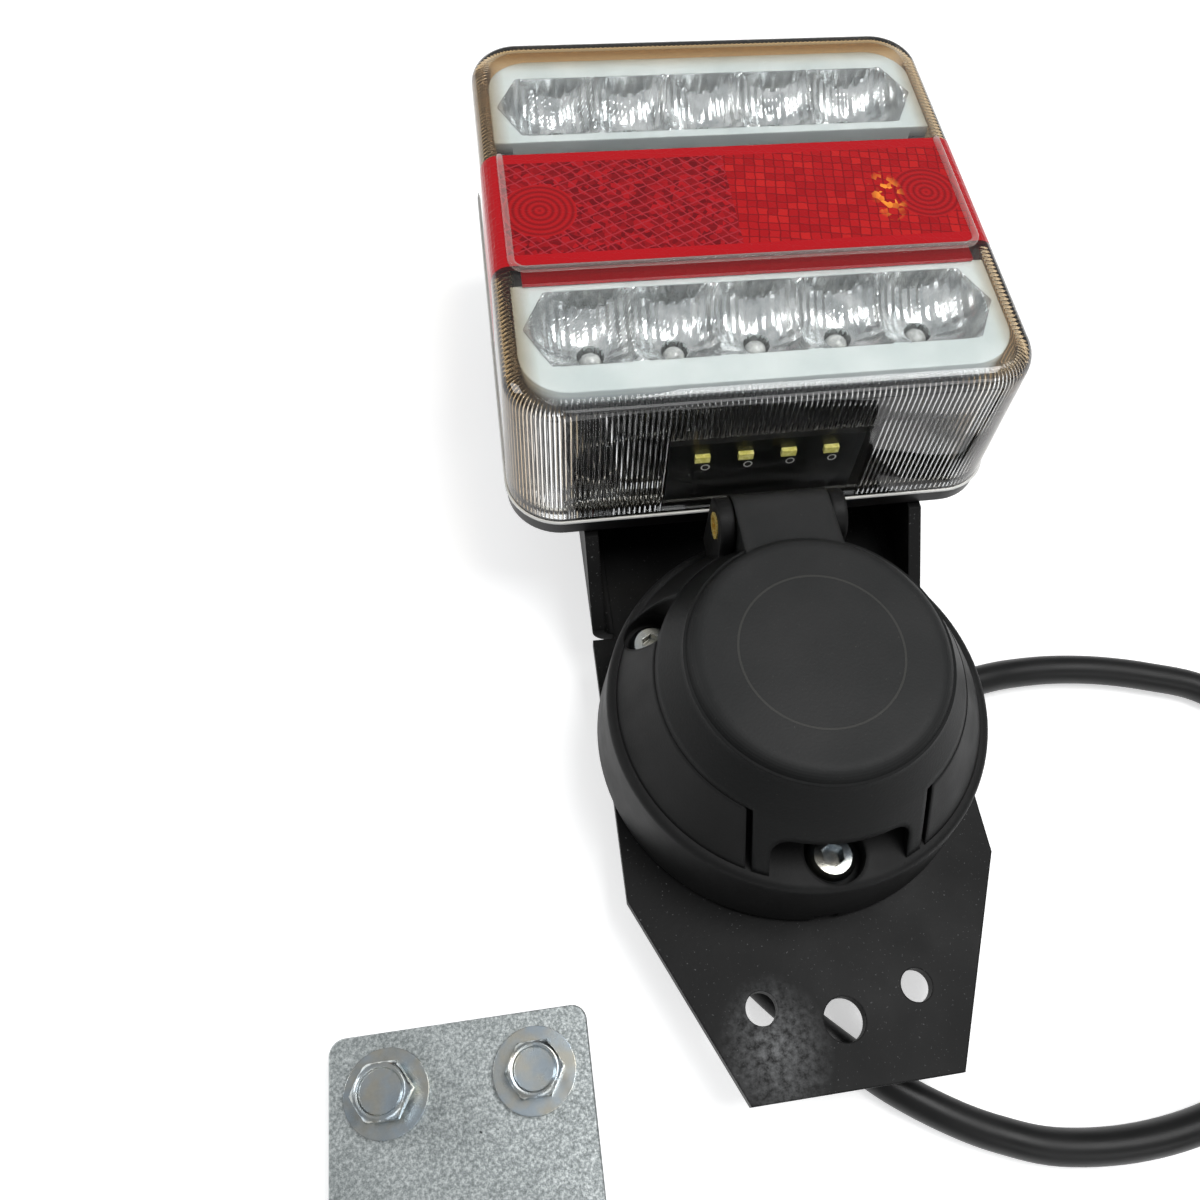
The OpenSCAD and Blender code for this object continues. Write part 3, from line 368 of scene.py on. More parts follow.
def red_prism_acrylic():
    """Red acrylic with prisms moulded in its back under a smooth glossy face. The left field
    is dark, with fine pale lines in two slants and painted reflections that make each facet
    a little lighter or darker; the right one is a net of squares, each painted a little
    lighter or darker as a reflection; rings stand at both ends, painted orange glints stand
    in for lit facets beside the right one, and plain strips frame the fields."""
    sway_by = 0.8 * MM
    line_pitch = 2.3
    square = 2.2
    facet = 1.3
    ring_pitch = 1.4
    fields_meet_x = -1.0 * MM
    rings_x, rings_y, rings_r = 42.5 * MM, 159.0 * MM, 7.8 * MM
    painted_glint_middle = (33.5 * MM, 158.5 * MM, 56.5 * MM)
    per_painted_glint = (230.0, 120.0, 100.0)  # one over its half widths in metres
    field_half_y = 13.6 * MM
    field_half_x = 50.0 * MM
    made, tree, place = start("red_prism_acrylic")
    x, y, _ = node(tree, "SeparateXYZ", {"Vector": place}).outputs
    wobble = node(tree, "TexNoise", {"Vector": place, "Scale": 1000 / 3}).outputs["Color"]
    sway = node(tree, "VectorMath", {0: wobble, 1: (sway_by, sway_by, 0.0)},
                operation="MULTIPLY")
    swayed = node(tree, "VectorMath", {0: place, 1: sway}, operation="ADD")
    lines = []
    for slant in (-24.0, 52.0):
        turned = node(tree, "Mapping", {
            "Vector": swayed, "Rotation": (0, 0, math.radians(slant)),
            "Scale": (1000 / line_pitch, 1000 / line_pitch, 1.0)})
        along = node(tree, "SeparateXYZ", {"Vector": turned}).outputs["Y"]
        wave = node(tree, "Math", {0: along, 1: 0.5}, operation="PINGPONG")
        lines.append(node(tree, "MapRange", {"Value": wave, "From Min": 0.02, "From Max": 0.10,
                                             "To Min": 1.0, "To Max": 0.0}))
    hatch = node(tree, "Math", {0: lines[0], 1: lines[1]}, operation="MAXIMUM")
    squares = node(tree, "Mapping", {
        "Vector": swayed, "Rotation": (0, 0, math.radians(8.0)),
        "Scale": (1000 / square, 1000 / square, 0.0)})
    cell = node(tree, "VectorMath", {0: squares}, operation="FLOOR")
    within = node(tree, "VectorMath", {0: squares}, operation="FRACTION")
    middle = node(tree, "VectorMath", {0: within, 1: (0.5, 0.5, 0.0)}, operation="SUBTRACT")
    half = node(tree, "VectorMath", {0: middle}, operation="ABSOLUTE")
    half_x, half_y, _ = node(tree, "SeparateXYZ", {"Vector": half}).outputs
    near_edge = node(tree, "Math", {0: half_x, 1: half_y}, operation="MAXIMUM")
    net = node(tree, "MapRange", {"Value": near_edge, "From Min": 0.40, "From Max": 0.48})
    # Painted reflections: each square of the right field a little lighter or darker
    square_painted_shine = node(tree, "TexWhiteNoise", {"Vector": cell}).outputs["Value"]
    # Painted reflections: each facet of the left field a little lighter or darker; the same
    # facets carry the painted glints
    facets = node(tree, "TexVoronoi", {"Vector": place, "Scale": 1000 / facet})
    facet_painted_sparkle = node(tree, "SeparateXYZ", {"Vector": facets.outputs["Color"]}).outputs[0]
    left = node(tree, "ValToRGB", {"Fac": facet_painted_sparkle},
                [(0.0, "#6a030d"), (0.5, "#860a13"), (1.0, "#ad121b")])
    left_lined = node(tree, "Mix", {0: hatch, 6: left, 7: "#a82a34"}, data_type="RGBA")
    right = node(tree, "ValToRGB", {"Fac": square_painted_shine},
                 [(0.0, "#9c0912"), (0.6, "#ae1117"), (1.0, "#bd1d1c")])
    right_lined = node(tree, "Mix", {0: net, 6: right, 7: "#7e0710"}, data_type="RGBA")
    on_right = node(tree, "Math", {0: x, 1: fields_meet_x}, operation="GREATER_THAN")
    field = node(tree, "Mix", {0: on_right, 6: left_lined.outputs[2],
                               7: right_lined.outputs[2]}, data_type="RGBA")

    out = node(tree, "Math", {0: x}, operation="ABSOLUTE")
    from_end = node(tree, "Math", {0: out, 1: rings_x}, operation="SUBTRACT")
    from_row = node(tree, "Math", {0: y, 1: rings_y}, operation="SUBTRACT")
    spot = node(tree, "CombineXYZ", {"X": from_end, "Y": from_row})
    away = node(tree, "VectorMath", {0: spot}, operation="LENGTH").outputs["Value"]
    turns = node(tree, "Math", {0: away, 1: 1000 / ring_pitch}, operation="MULTIPLY")
    ripple = node(tree, "Math", {0: turns, 1: 0.5}, operation="PINGPONG")
    in_rings = node(tree, "Math", {0: away, 1: rings_r}, operation="LESS_THAN")
    ringed = node(tree, "ValToRGB", {"Fac": ripple}, [(0.05, "#860a12"), (0.4, "#ae1319")])
    with_rings = node(tree, "Mix", {0: in_rings, 6: field.outputs[2], 7: ringed},
                      data_type="RGBA")

    # Painted highlight: orange glints on facets near the right rings, standing in for lit
    # facets
    far = how_far(tree, place, painted_glint_middle, per_painted_glint)
    near_painted_glints = node(tree, "Math", {0: 1.0, 1: far}, operation="SUBTRACT", use_clamp=True)
    painted_lit_facets = node(tree, "MapRange", {"Value": facet_painted_sparkle, "From Min": 0.45, "From Max": 0.7})
    painted_glints = node(tree, "Math", {0: near_painted_glints, 1: painted_lit_facets}, operation="MULTIPLY")
    glow = node(tree, "MapRange", {"Value": painted_glints, "To Max": 1.7})
    with_painted_glints = node(tree, "Mix", {0: glow, 6: with_rings.outputs[2], 7: "#ff9c34"},
                     data_type="RGBA")

    middle_y = (BAND_Y[0] + BAND_Y[1]) / 2 * MM
    from_middle = node(tree, "Math", {0: y, 1: middle_y}, operation="SUBTRACT")
    up_down = node(tree, "Math", {0: from_middle}, operation="ABSOLUTE")
    strip = node(tree, "Math", {0: up_down, 1: field_half_y}, operation="GREATER_THAN")
    end_strip = node(tree, "Math", {0: out, 1: field_half_x}, operation="GREATER_THAN")
    plain = node(tree, "Math", {0: strip, 1: end_strip}, operation="MAXIMUM")
    shown = node(tree, "Mix", {0: plain, 6: with_painted_glints.outputs[2], 7: "#b00e18"},
                 data_type="RGBA")
    relief = node(tree, "Math", {0: hatch, 1: net}, operation="ADD")
    normal = node(tree, "Bump", {"Height": relief, "Distance": 0.12 * MM, "Strength": 0.3})
    return close(made, tree, node(tree, "BsdfPrincipled", {
        "Base Color": shown.outputs[2], "Roughness": 0.3, "Specular IOR Level": 0.12,
        "Coat Weight": 0.25, "Coat Roughness": 0.03, "Coat IOR": 1.49, "Normal": normal}))


def metallised_plastic():
    """Vacuum-metallised plastic: a bright, slightly soft mirror with a faint grey haze."""
    made, tree, place = start("metallised_plastic")
    haze = node(tree, "TexNoise", {"Vector": place, "Scale": 1000 / 5, "Detail": 5.0})
    dents = node(tree, "TexNoise", {"Vector": place, "Scale": 1000 / 1.2})
    base = node(tree, "ValToRGB", {"Fac": haze}, [(0.3, "#9a9e9f"), (0.7, "#cfd1d1")])
    matt = node(tree, "MapRange", {"Value": haze, "From Min": 0.3, "From Max": 0.7,
                                   "To Min": 0.12, "To Max": 0.24})
    normal = node(tree, "Bump", {"Height": dents, "Distance": 0.05 * MM, "Strength": 0.35})
    return close(made, tree, node(tree, "BsdfPrincipled", {
        "Base Color": base, "Metallic": 0.88, "Roughness": matt, "Normal": normal}))


def plated_housing():
    """White ABS housing under a thin bright plating on its face: pale and bluish in front,
    and painted dark on its sides below the face, a painted reflection of the black tray in
    the plating."""
    painted_dark_below, pale_above = 53.5 * MM, 55.6 * MM
    near_wall_y = 114.5 * MM
    side_wall_x = 46.2 * MM
    made, tree, place = start("plated_housing")
    x, y, z = node(tree, "SeparateXYZ", {"Vector": place}).outputs
    front = node(tree, "MapRange", {"Value": z, "From Min": painted_dark_below, "From Max": pale_above})
    low_wall = node(tree, "Math", {0: y, 1: near_wall_y}, operation="GREATER_THAN")
    out = node(tree, "Math", {0: x}, operation="ABSOLUTE")
    within = node(tree, "Math", {0: out, 1: side_wall_x}, operation="LESS_THAN")
    inside = node(tree, "Math", {0: low_wall, 1: within}, operation="MULTIPLY")
    clear_of_painted_reflection = node(tree, "Math", {0: front, 1: inside}, operation="MAXIMUM")
    mottle = node(tree, "TexNoise", {"Vector": place, "Scale": 1000 / 14, "Detail": 3.0})
    pale = node(tree, "ValToRGB", {"Fac": mottle}, [(0.35, "#a9b3b5"), (0.65, "#b7bfc1")])
    # Painted reflection: the sides below the face take near-black #1b1c1d, standing for the
    # black tray seen in the plating
    shown = node(tree, "Mix", {0: clear_of_painted_reflection, 6: "#1b1c1d", 7: pale}, data_type="RGBA")
    soft = node(tree, "Bevel", {"Radius": 0.6 * MM}, samples=4)
    return close(made, tree, node(tree, "BsdfPrincipled", {
        "Base Color": shown.outputs[2], "Roughness": 0.25, "Specular IOR Level": 0.5,
        "Normal": soft}))


def bright_zinc(name, low, high, rough):
    """Zinc plating on steel: bright, with dull spots about 6 mm across and a faint bluish and
    straw-coloured cast that drifts over 4 mm."""
    made, tree, place = start(name)
    spots = node(tree, "TexNoise", {"Vector": place, "Scale": 1000 / 6, "Detail": 5.0,
                                    "Roughness": 0.6})
    cast = node(tree, "TexNoise", {"Vector": place, "Scale": 1000 / 4})
    pits = node(tree, "TexNoise", {"Vector": place, "Scale": 1000 / 0.8})
    base = node(tree, "ValToRGB", {"Fac": spots}, [(0.3, low), (0.6, high)])
    hue = node(tree, "ValToRGB", {"Fac": cast}, [(0.35, "#dfe9f0"), (0.65, "#efe9da")])
    shown = node(tree, "Mix", {0: 1.0, 6: base, 7: hue}, data_type="RGBA",
                 blend_type="MULTIPLY")
    matt = node(tree, "MapRange", {"Value": spots, "From Min": 0.3, "From Max": 0.7,
                                   "To Min": rough + 0.1, "To Max": rough - 0.04})
    soft = node(tree, "Bevel", {"Radius": 0.25 * MM}, samples=4)
    normal = node(tree, "Bump", {"Height": pits, "Distance": 0.01 * MM, "Strength": 0.3,
                                 "Normal": soft})
    return close(made, tree, node(tree, "BsdfPrincipled", {
        "Base Color": shown.outputs[2], "Metallic": 1.0, "Roughness": matt,
        "Normal": normal}))


def galvanised_steel():
    """Galvanised sheet: a sandy sparkle of grains about 0.6 mm across, drawn a little coarser
    than they are, on grey that clouds over 25 mm, with a few black pin specks."""
    made, tree, place = start("galvanised_steel")
    grains = node(tree, "TexNoise", {"Vector": place, "Scale": 1000 / 0.6, "Detail": 3.0,
                                     "Roughness": 0.7})
    cloud = node(tree, "TexNoise", {"Vector": place, "Scale": 1000 / 25, "Detail": 3.0})
    dirt = node(tree, "TexNoise", {"Vector": place, "Scale": 1000 / 1.6, "Roughness": 0.8})
    tone = node(tree, "MapRange", {"Value": grains, "From Min": 0.32, "From Max": 0.68})
    both = node(tree, "Mix", {0: 0.45, 2: tone, 3: cloud})
    base = node(tree, "ValToRGB", {"Fac": both}, [(0.2, "#6d7373"), (0.5, "#969c9c"),
                                                  (0.8, "#cbd0d0")])
    specks = node(tree, "MapRange", {"Value": dirt, "From Min": 0.735, "From Max": 0.75})
    shown = node(tree, "Mix", {0: specks, 6: base, 7: "#2c2e2e"}, data_type="RGBA")
    matt = node(tree, "MapRange", {"Value": grains, "From Min": 0.3, "From Max": 0.7,
                                   "To Min": 0.52, "To Max": 0.32})
    normal = node(tree, "Bump", {"Height": grains, "Distance": 0.08 * MM, "Strength": 0.6})
    return close(made, tree, node(tree, "BsdfPrincipled", {
        "Base Color": shown.outputs[2], "Metallic": 0.55, "Roughness": matt,
        "Normal": normal}))


def turned_brass():
    """Turned brass tube: warm yellow with a soft shine and slightly browned patches."""
    made, tree, place = start("turned_brass")
    spots = node(tree, "TexNoise", {"Vector": place, "Scale": 1000 / 1.5, "Detail": 4.0})
    base = node(tree, "ValToRGB", {"Fac": spots}, [(0.35, "#d0ac50"), (0.65, "#f2dd8e")])
    matt = node(tree, "MapRange", {"Value": spots, "From Min": 0.3, "From Max": 0.7,
                                   "To Min": 0.32, "To Max": 0.2})
    return close(made, tree, node(tree, "BsdfPrincipled", {
        "Base Color": base, "Metallic": 0.45, "Roughness": matt}))


def solder_mask():
    """Black solder mask on a glass-fibre board: smooth and slightly glossy over a 0.8 mm
    weave, with thin white rings printed round the test points under the diodes."""
    ring_x, ring_z = 0.62, 33.5 * MM  # its place in each pitch, and its height
    ring_r, ring_half_w = 0.85, 0.13
    made, tree, place = start("solder_mask")
    weave = node(tree, "TexNoise", {"Vector": place, "Scale": 1000 / 0.8})
    drift = node(tree, "TexNoise", {"Vector": place, "Scale": 1000 / 12})
    base = node(tree, "ValToRGB", {"Fac": drift}, [(0.3, "#080909"), (0.7, "#101111")])
    x, _, z = node(tree, "SeparateXYZ", {"Vector": place}).outputs
    steps = node(tree, "Math", {0: x, 1: CHIP_PITCH * MM}, operation="DIVIDE")
    within = node(tree, "Math", {0: steps}, operation="FRACT")
    from_chip = node(tree, "Math", {0: within, 1: ring_x}, operation="SUBTRACT")
    in_mm = node(tree, "Math", {0: from_chip, 1: CHIP_PITCH}, operation="MULTIPLY")
    down = node(tree, "Math", {0: z, 1: ring_z}, operation="SUBTRACT")
    down_mm = node(tree, "Math", {0: down, 1: 1000.0}, operation="MULTIPLY")
    spot = node(tree, "CombineXYZ", {"X": in_mm, "Y": down_mm})
    away = node(tree, "VectorMath", {0: spot}, operation="LENGTH").outputs["Value"]
    ring = node(tree, "Math", {0: away, 1: ring_r, 2: ring_half_w}, operation="COMPARE")
    shown = node(tree, "Mix", {0: ring, 6: base, 7: "#d8dad8"}, data_type="RGBA")
    normal = node(tree, "Bump", {"Height": weave, "Distance": 0.01 * MM, "Strength": 0.3})
    return close(made, tree, node(tree, "BsdfPrincipled", {
        "Base Color": shown.outputs[2], "Roughness": 0.32, "Normal": normal}))


def cast_resin(name, low, high, size, rough):
    """Resin cast over a diode: milky, with a glossy skin and cloudy patches size mm across."""
    made, tree, place = start(name)
    cloud = node(tree, "TexNoise", {"Vector": place, "Scale": 1000 / size})
    base = node(tree, "ValToRGB", {"Fac": cloud}, [(0.3, low), (0.7, high)])
    return close(made, tree, node(tree, "BsdfPrincipled", {
        "Base Color": base, "Roughness": rough, "Coat Weight": 0.7, "Coat Roughness": 0.03}))


def extruded_sheath():
    """Extruded black PVC sheath: satin, with faint draw lines and dust."""
    made, tree, place = start("extruded_sheath")
    drift = node(tree, "TexNoise", {"Vector": place, "Scale": 1000 / 12, "Detail": 5.0})
    lines = node(tree, "TexNoise", {"Vector": place, "Scale": 1000, "Detail": 3.0})
    base = node(tree, "ValToRGB", {"Fac": drift}, [(0.3, "#0b0b0b"), (0.7, "#151515")])
    matt = node(tree, "MapRange", {"Value": drift, "From Min": 0.3, "From Max": 0.7,
                                   "To Min": 0.36, "To Max": 0.48})
    normal = node(tree, "Bump", {"Height": lines, "Distance": 0.03 * MM, "Strength": 0.5})
    return close(made, tree, node(tree, "BsdfPrincipled", {
        "Base Color": base, "Roughness": matt, "Specular IOR Level": 0.3, "Normal": normal}))


# The materials, and the nodes of the part that take each

steel = powder_coated_steel()
acrylic = clear_acrylic()
bead_acrylic = beaded_acrylic()
red_acrylic = red_prism_acrylic()
mirror_coat = metallised_plastic()
housing = plated_housing()
zinc = bright_zinc("zinc_plated_steel", "#aeb2b4", "#dfe2e4", 0.2)
spring_wire = bright_zinc("drawn_spring_steel", "#8b8e90", "#aeb1b3", 0.32)
galvanised = galvanised_steel()
brass = turned_brass()
board_mask = solder_mask()
# Yellow phosphor under a number-plate diode's resin, and the milky dome of a round diode
phosphor_resin = cast_resin("phosphor_resin", "#cfc85e", "#f6f0a0", 0.9, 0.3)
dome_resin = cast_resin("dome_resin", "#8a8d8e", "#bcc0c0", 1.5, 0.12)
sheath = extruded_sheath()
# The welded edge of the lens shows as a thin pale line: a painted highlight of the seam
seam_painted_highlight = moulded("welded_edge_painted_highlight", "#b9bab8", "#e6e6e3", 0.3, 0.9, 0.02, 0.5, 0.2)
# The tray is semi-matt ABS, the socket glass-filled nylon with a spark-eroded grain
tray_abs = moulded("black_abs", "#070707", "#0d0d0d", 0.38, 0.8, 0.02, 0.3)
socket_nylon = moulded("glass_filled_nylon", "#111111", "#1a1a1a", 0.5, 0.4, 0.05, 0.14, 1.1)
cap_nylon = moulded_cap_nylon()
nitrile = moulded("nitrile_rubber", "#0b0b0b", "#131313", 0.62, 0.9, 0.04)
sealing_foam = moulded("closed_cell_foam", "#141414", "#222222", 0.85, 1.1, 0.15)
carrier_nylon = moulded("grey_nylon", "#232528", "#303338", 0.48, 0.6, 0.03)

CAD_FINISH = {
    steel: ("bracket", "left_flange", "right_flange"),
    tray_abs: ("lamp_base",),
    acrylic: ("lens",),
    red_acrylic: ("red_reflector",),
    housing: ("upper_reflector", "lower_reflector"),
    board_mask: ("led_board", "plate_light_board"),
    dome_resin: ("upper_leds", "lower_leds"),
    phosphor_resin: ("plate_light_leds",),
    zinc: ("lamp_studs", "lamp_washers", "lamp_nuts", "socket_screws", "socket_nuts",
           "plate_washers", "plate_bolts", "plate_nuts"),
    nitrile: ("lamp_boot", "socket_boot", "cap_seal"),
    socket_nylon: ("socket_base", "socket_collar", "socket_barrel"),
    sealing_foam: ("socket_gasket",),
    carrier_nylon: ("carrier_plate", "contact_carrier"),
    brass: ("contacts", "hinge_pin"),
    cap_nylon: ("cap",),
    spring_wire: ("hinge_spring",),
    sheath: ("cable",),
    galvanised: ("fixing_plate",),
}
for finish, cad_names in CAD_FINISH.items():
    for cad_name in cad_names:
        cad[cad_name].data.materials.clear()
        cad[cad_name].data.materials.append(finish)


# Cable

CABLE_D = 7.0
# Points of its middle line: x, y and the height over where it lies on the floor
CABLE_ROUTE = [
    (43.04, 69.15, 1.8), (54, 71.2, 1.2), (62, 72.2, 0.4), (73, 72.2, 0), (85, 70.6, 0),
    (97, 67.5, 0), (109, 63, 0), (119, 54, 0), (125, 42, 0), (127, 28, 0), (124, 12, 0),
    (116, -3, 0), (104, -15, 0), (89, -24, 0), (71, -28.4, 0), (55, -29.6, 0), (40, -28, 0),
    (29, -24.2, 0), (20, -19.6, 0), (10, -12.8, 0), (2, -5.5, 0), (-7, 3.5, 0), (-15, 13, 0),
    (-23, 24, 0), (-29, 37, 0), (-32, 50, 0), (-33, 62, 0), (-32, 75, 0), (-28.5, 87, 0.3),
    (-23, 98, 1.2), (-20, 108, 1.8),
]


def make_cable():
    """The cable that joins the socket's boot to the lamp's: a 7 mm round tube along the
    smooth line through the route's points, lying on the floor."""
    line = through(CABLE_ROUTE, 6)
    line[:, 2] += FLOOR_Z + CABLE_D / 2
    points, faces = tube(line, CABLE_D / 2, 20)
    piece = add_piece("cable_sheath", points, faces, sheath)
    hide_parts("cable")


make_cable()


# Lamp

def cut_away(piece, points, faces):
    """Takes a closed form, given by its points in millimetres and its faces, out of a piece."""
    mesh = bpy.data.meshes.new("space")
    mesh.from_pydata((np.asarray(points) * MM).tolist(), [], faces)
    space = bpy.data.objects.new("space", mesh)
    scene.collection.objects.link(space)
    cutter = piece.modifiers.new("space", "BOOLEAN")
    cutter.object = space
    cutter.operation = "DIFFERENCE"
    cutter.solver = "EXACT"
    bpy.context.view_layer.update()
    shown = piece.evaluated_get(bpy.context.evaluated_depsgraph_get())
    cut = bpy.data.meshes.new_from_object(shown)
    piece.modifiers.clear()
    piece.data = cut
    bpy.data.objects.remove(space)


def band_space():
    """The box that the red band takes out of the lens, wider and higher than the lens: its
    corners and faces."""
    corners = [(x, y, z) for x in (-80.0, 80.0) for y in BAND_Y
               for z in (FACE_Z - BAND_DROP, FACE_Z + 20)]
    faces = [(0, 1, 3, 2), (4, 6, 7, 5), (0, 4, 5, 1), (2, 3, 7, 6), (0, 2, 6, 4),
             (1, 5, 7, 3)]
    return corners, faces


def make_lens():
    """The clear shell: rings round the lamp's outline at each step of the wall's section,
    outer skin up, over the round edge and in to the middle, inner skin back out and down.
    The inner skin stands in and out by a cosine of the distance along the outline, one
    flute each 1.14 mm, and is plain in the number-plate window, below 46.2 mm."""
    flutes = 372
    flute_points = 6
    flute_depth = 0.38
    columns = flutes * flute_points
    edge = np.radians(np.linspace(0, 90, 7))
    _, s = lamp_outline(columns, 0.0)
    wave = 0.5 - 0.5 * np.cos(2 * math.pi * np.arange(columns) / flute_points)
    from_window = np.abs(s - (LAMP_HALF[0] - LAMP_CORNER))
    window = (from_window < WINDOW_HALF_W) | (from_window > s[-1] - WINDOW_HALF_W)
    rows = []

    def ring(inset, z, depth=0.0):
        line, _ = lamp_outline(columns, inset + depth)
        rows.append(np.column_stack([line, np.full(columns, z)]))

    out_edge = LENS_DRAFT + LENS_EDGE
    ring(0.0, LENS_FOOT_Z)
    for z in (32.0, 44.0):
        ring(LENS_DRAFT * (z - LENS_FOOT_Z) / (FACE_Z - LENS_EDGE - LENS_FOOT_Z), z)
    for a in edge:
        ring(out_edge - LENS_EDGE * math.cos(a), FACE_Z - LENS_EDGE + LENS_EDGE * math.sin(a))
    in_face = FACE_Z - LENS_WALL
    radius = LENS_EDGE - LENS_WALL + 0.6
    wall = LENS_WALL + LENS_DRAFT
    for a in edge[::-1]:
        ring(wall + radius - radius * math.cos(a), in_face - radius + radius * math.sin(a),
             -flute_depth * wave * min(1.0, 1.4 * math.cos(a)))
    for z, plain in ((46.3, False), (46.2, True), (45.9, True), (30.0, True),
                     (LENS_FOOT_Z, True)):
        ring(wall, z, -flute_depth * wave * np.where(window & plain, 0.0, 1.0))
    points = np.concatenate(rows)
    faces = grid_quads(len(rows), columns, along=True)
    front = (2 + len(edge)) * columns
    outer_face = np.arange(columns) + front
    inner_face = (np.arange(columns) + front + columns)[::-1]
    faces = np.delete(faces, np.s_[front:front + columns], 0).tolist()
    faces += [outer_face.tolist(), inner_face.tolist()]
    piece = add_piece("lens_shell", points, faces, acrylic)
    cut_away(piece, *band_space())
    piece.data.shade_smooth()
    piece.data.set_sharp_from_angle(angle=math.radians(55))
    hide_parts("lens")


def make_weld_bead():
    """The bright line where the lens is welded to the tray, a painted highlight: a 0.8 mm round
    bead along the lamp's outline, just proud of it."""
    line, _ = lamp_outline(360, -0.05)
    path = np.column_stack([line, np.full(len(line), LENS_FOOT_Z + 0.1)])
    points, faces = tube(path, 0.4, 8, closed=True)
    add_piece("lens_weld_bead", points, faces, seam_painted_highlight)


def make_band_ridge():
    """The clear bead on the face that frames the red band: down its left end, along its foot
    and up its right end, where the path rounds both corners on a 3 mm circle."""
    bend = 3
    half = LAMP_HALF[0] - LENS_DRAFT - LENS_EDGE - 0.4
    y0 = BAND_Y[0] - 1.2
    y1 = BAND_Y[1] - 0.4
    turn = np.radians(np.linspace(180, 270, 8))
    left = np.column_stack([bend - half + bend * np.cos(turn),
                            y0 + bend + bend * np.sin(turn)])
    right = left[::-1] * (-1, 1)
    rise = np.linspace(y1, y0 + bend, 12)[:-1]
    flat = np.linspace(bend - half, half - bend, 40)[1:-1]
    line = np.vstack([np.column_stack([np.full(len(rise), -half), rise]), left,
                      np.column_stack([flat, np.full(len(flat), y0)]), right,
                      np.column_stack([np.full(len(rise), half), rise[::-1]])])
    path = np.column_stack([line, np.full(len(line), FACE_Z + 0.1)])
    points, faces = tube(path, 0.75, 10)
    add_piece("band_ridge", points, faces, bead_acrylic)


def make_bay(name, middle_y):
    """Metallised floor of one row of bays: z is the bowl's depth, sqrt(R^2 - r^2) less the
    centre's height, where r is the distance to the nearest diode, lifted by pleats across
    the row and by facets that fan out round each diode. The first and last rows rise up the
    bay's long walls, in pleats 1.3 mm wide. The same grid a little lower closes it."""
    rows = 46
    columns = 5 * 56 + 1
    facets = 15
    facet_lift, pleat_lift, least_lift = 0.55, 0.5, 0.12
    floor_pleat, wall_pleat, wall_lift = 0.95, 1.3, 0.45
    diode_seat_r, diode_seat_depth = 2.75, 11.8
    thickness, wall_thickness = 0.35, 0.07
    top_z = HOUSING_Z - 0.05
    b = np.concatenate([[-1.0], np.linspace(-1, 1, rows - 2), [1.0]])[:, None]
    a = np.linspace(-1, 1, columns)[None, :]
    reach = 2.5 * BAY_PITCH + 0.5 * BAY_HALF_W * (1 - np.abs(b)) - 0.15
    x = a * reach
    y = b * (BAY_HALF_W - 0.1) + 0 * a
    cell = np.clip(np.round(x / BAY_PITCH), -2, 2)
    u = x - cell * BAY_PITCH
    r = np.hypot(u, y)
    dip = np.sqrt(np.maximum(BOWL_R ** 2 - r ** 2, 0.0)) - (BOWL_R - BOWL_DEPTH)
    dip = np.maximum(dip, 0.02)
    turn = np.arctan2(y, u)
    fan = np.abs((turn * facets / math.pi) % 2 - 1)
    pleat = np.abs((x / floor_pleat) % 2 - 1)
    # Relief starts outside the diode's seat, and turns from facets to pleats up the row
    outer = np.clip((r - 3.5) / 4.0, 0, 1)
    upper = np.clip((y + 2.0) / 5.0, 0, 1)
    lift = least_lift + outer * (facet_lift * fan * (1 - upper) + pleat_lift * pleat * upper)
    lift = np.minimum(lift, 0.6 * dip + 0.25)
    z = HOUSING_Z - dip + lift
    z = np.where(r < diode_seat_r, HOUSING_Z - diode_seat_depth, z)
    z[[0, -1]] = top_z
    y[[1, -2]] += (np.array([[wall_lift], [-wall_lift]])
                   * np.abs((x[[1, -2]] / wall_pleat) % 2 - 1))
    top = np.stack([x, y + middle_y, z], -1)
    under = top - np.array([0, 0, thickness])
    under[[0, -1], :, 2] = top_z
    under[:2, :, 1] -= wall_thickness
    under[-2:, :, 1] += wall_thickness
    count = rows * columns
    quads = grid_quads(rows, columns, around=False)
    rim = np.concatenate([np.arange(columns), np.arange(1, rows) * columns + columns - 1,
                          (rows - 1) * columns + np.arange(columns - 2, -1, -1),
                          np.arange(rows - 2, 0, -1) * columns])
    next_rim = np.roll(rim, -1)
    sides = np.stack([rim + count, next_rim + count, next_rim, rim], -1)
    faces = np.concatenate([quads, quads[:, ::-1] + count, sides])
    points = np.concatenate([top.reshape(-1, 3), under.reshape(-1, 3)])
    add_piece(name, points, faces.tolist(), mirror_coat, flat=True)


make_lens()
make_weld_bead()
make_band_ridge()
make_bay("upper_bay_mirror", UPPER_BAY_Y)
make_bay("lower_bay_mirror", LOWER_BAY_Y)


# The fixing plate and its bolts

BOLT_FLATS = 10.0
BOLT_HEAD_H = 4.0
BOLT_SHANK_R = 3.0
# Each bolt's x and the height of its head's underside: the left one stands proud
BOLTS = ((-88.5, -2.9), (-60.5, -6.4))


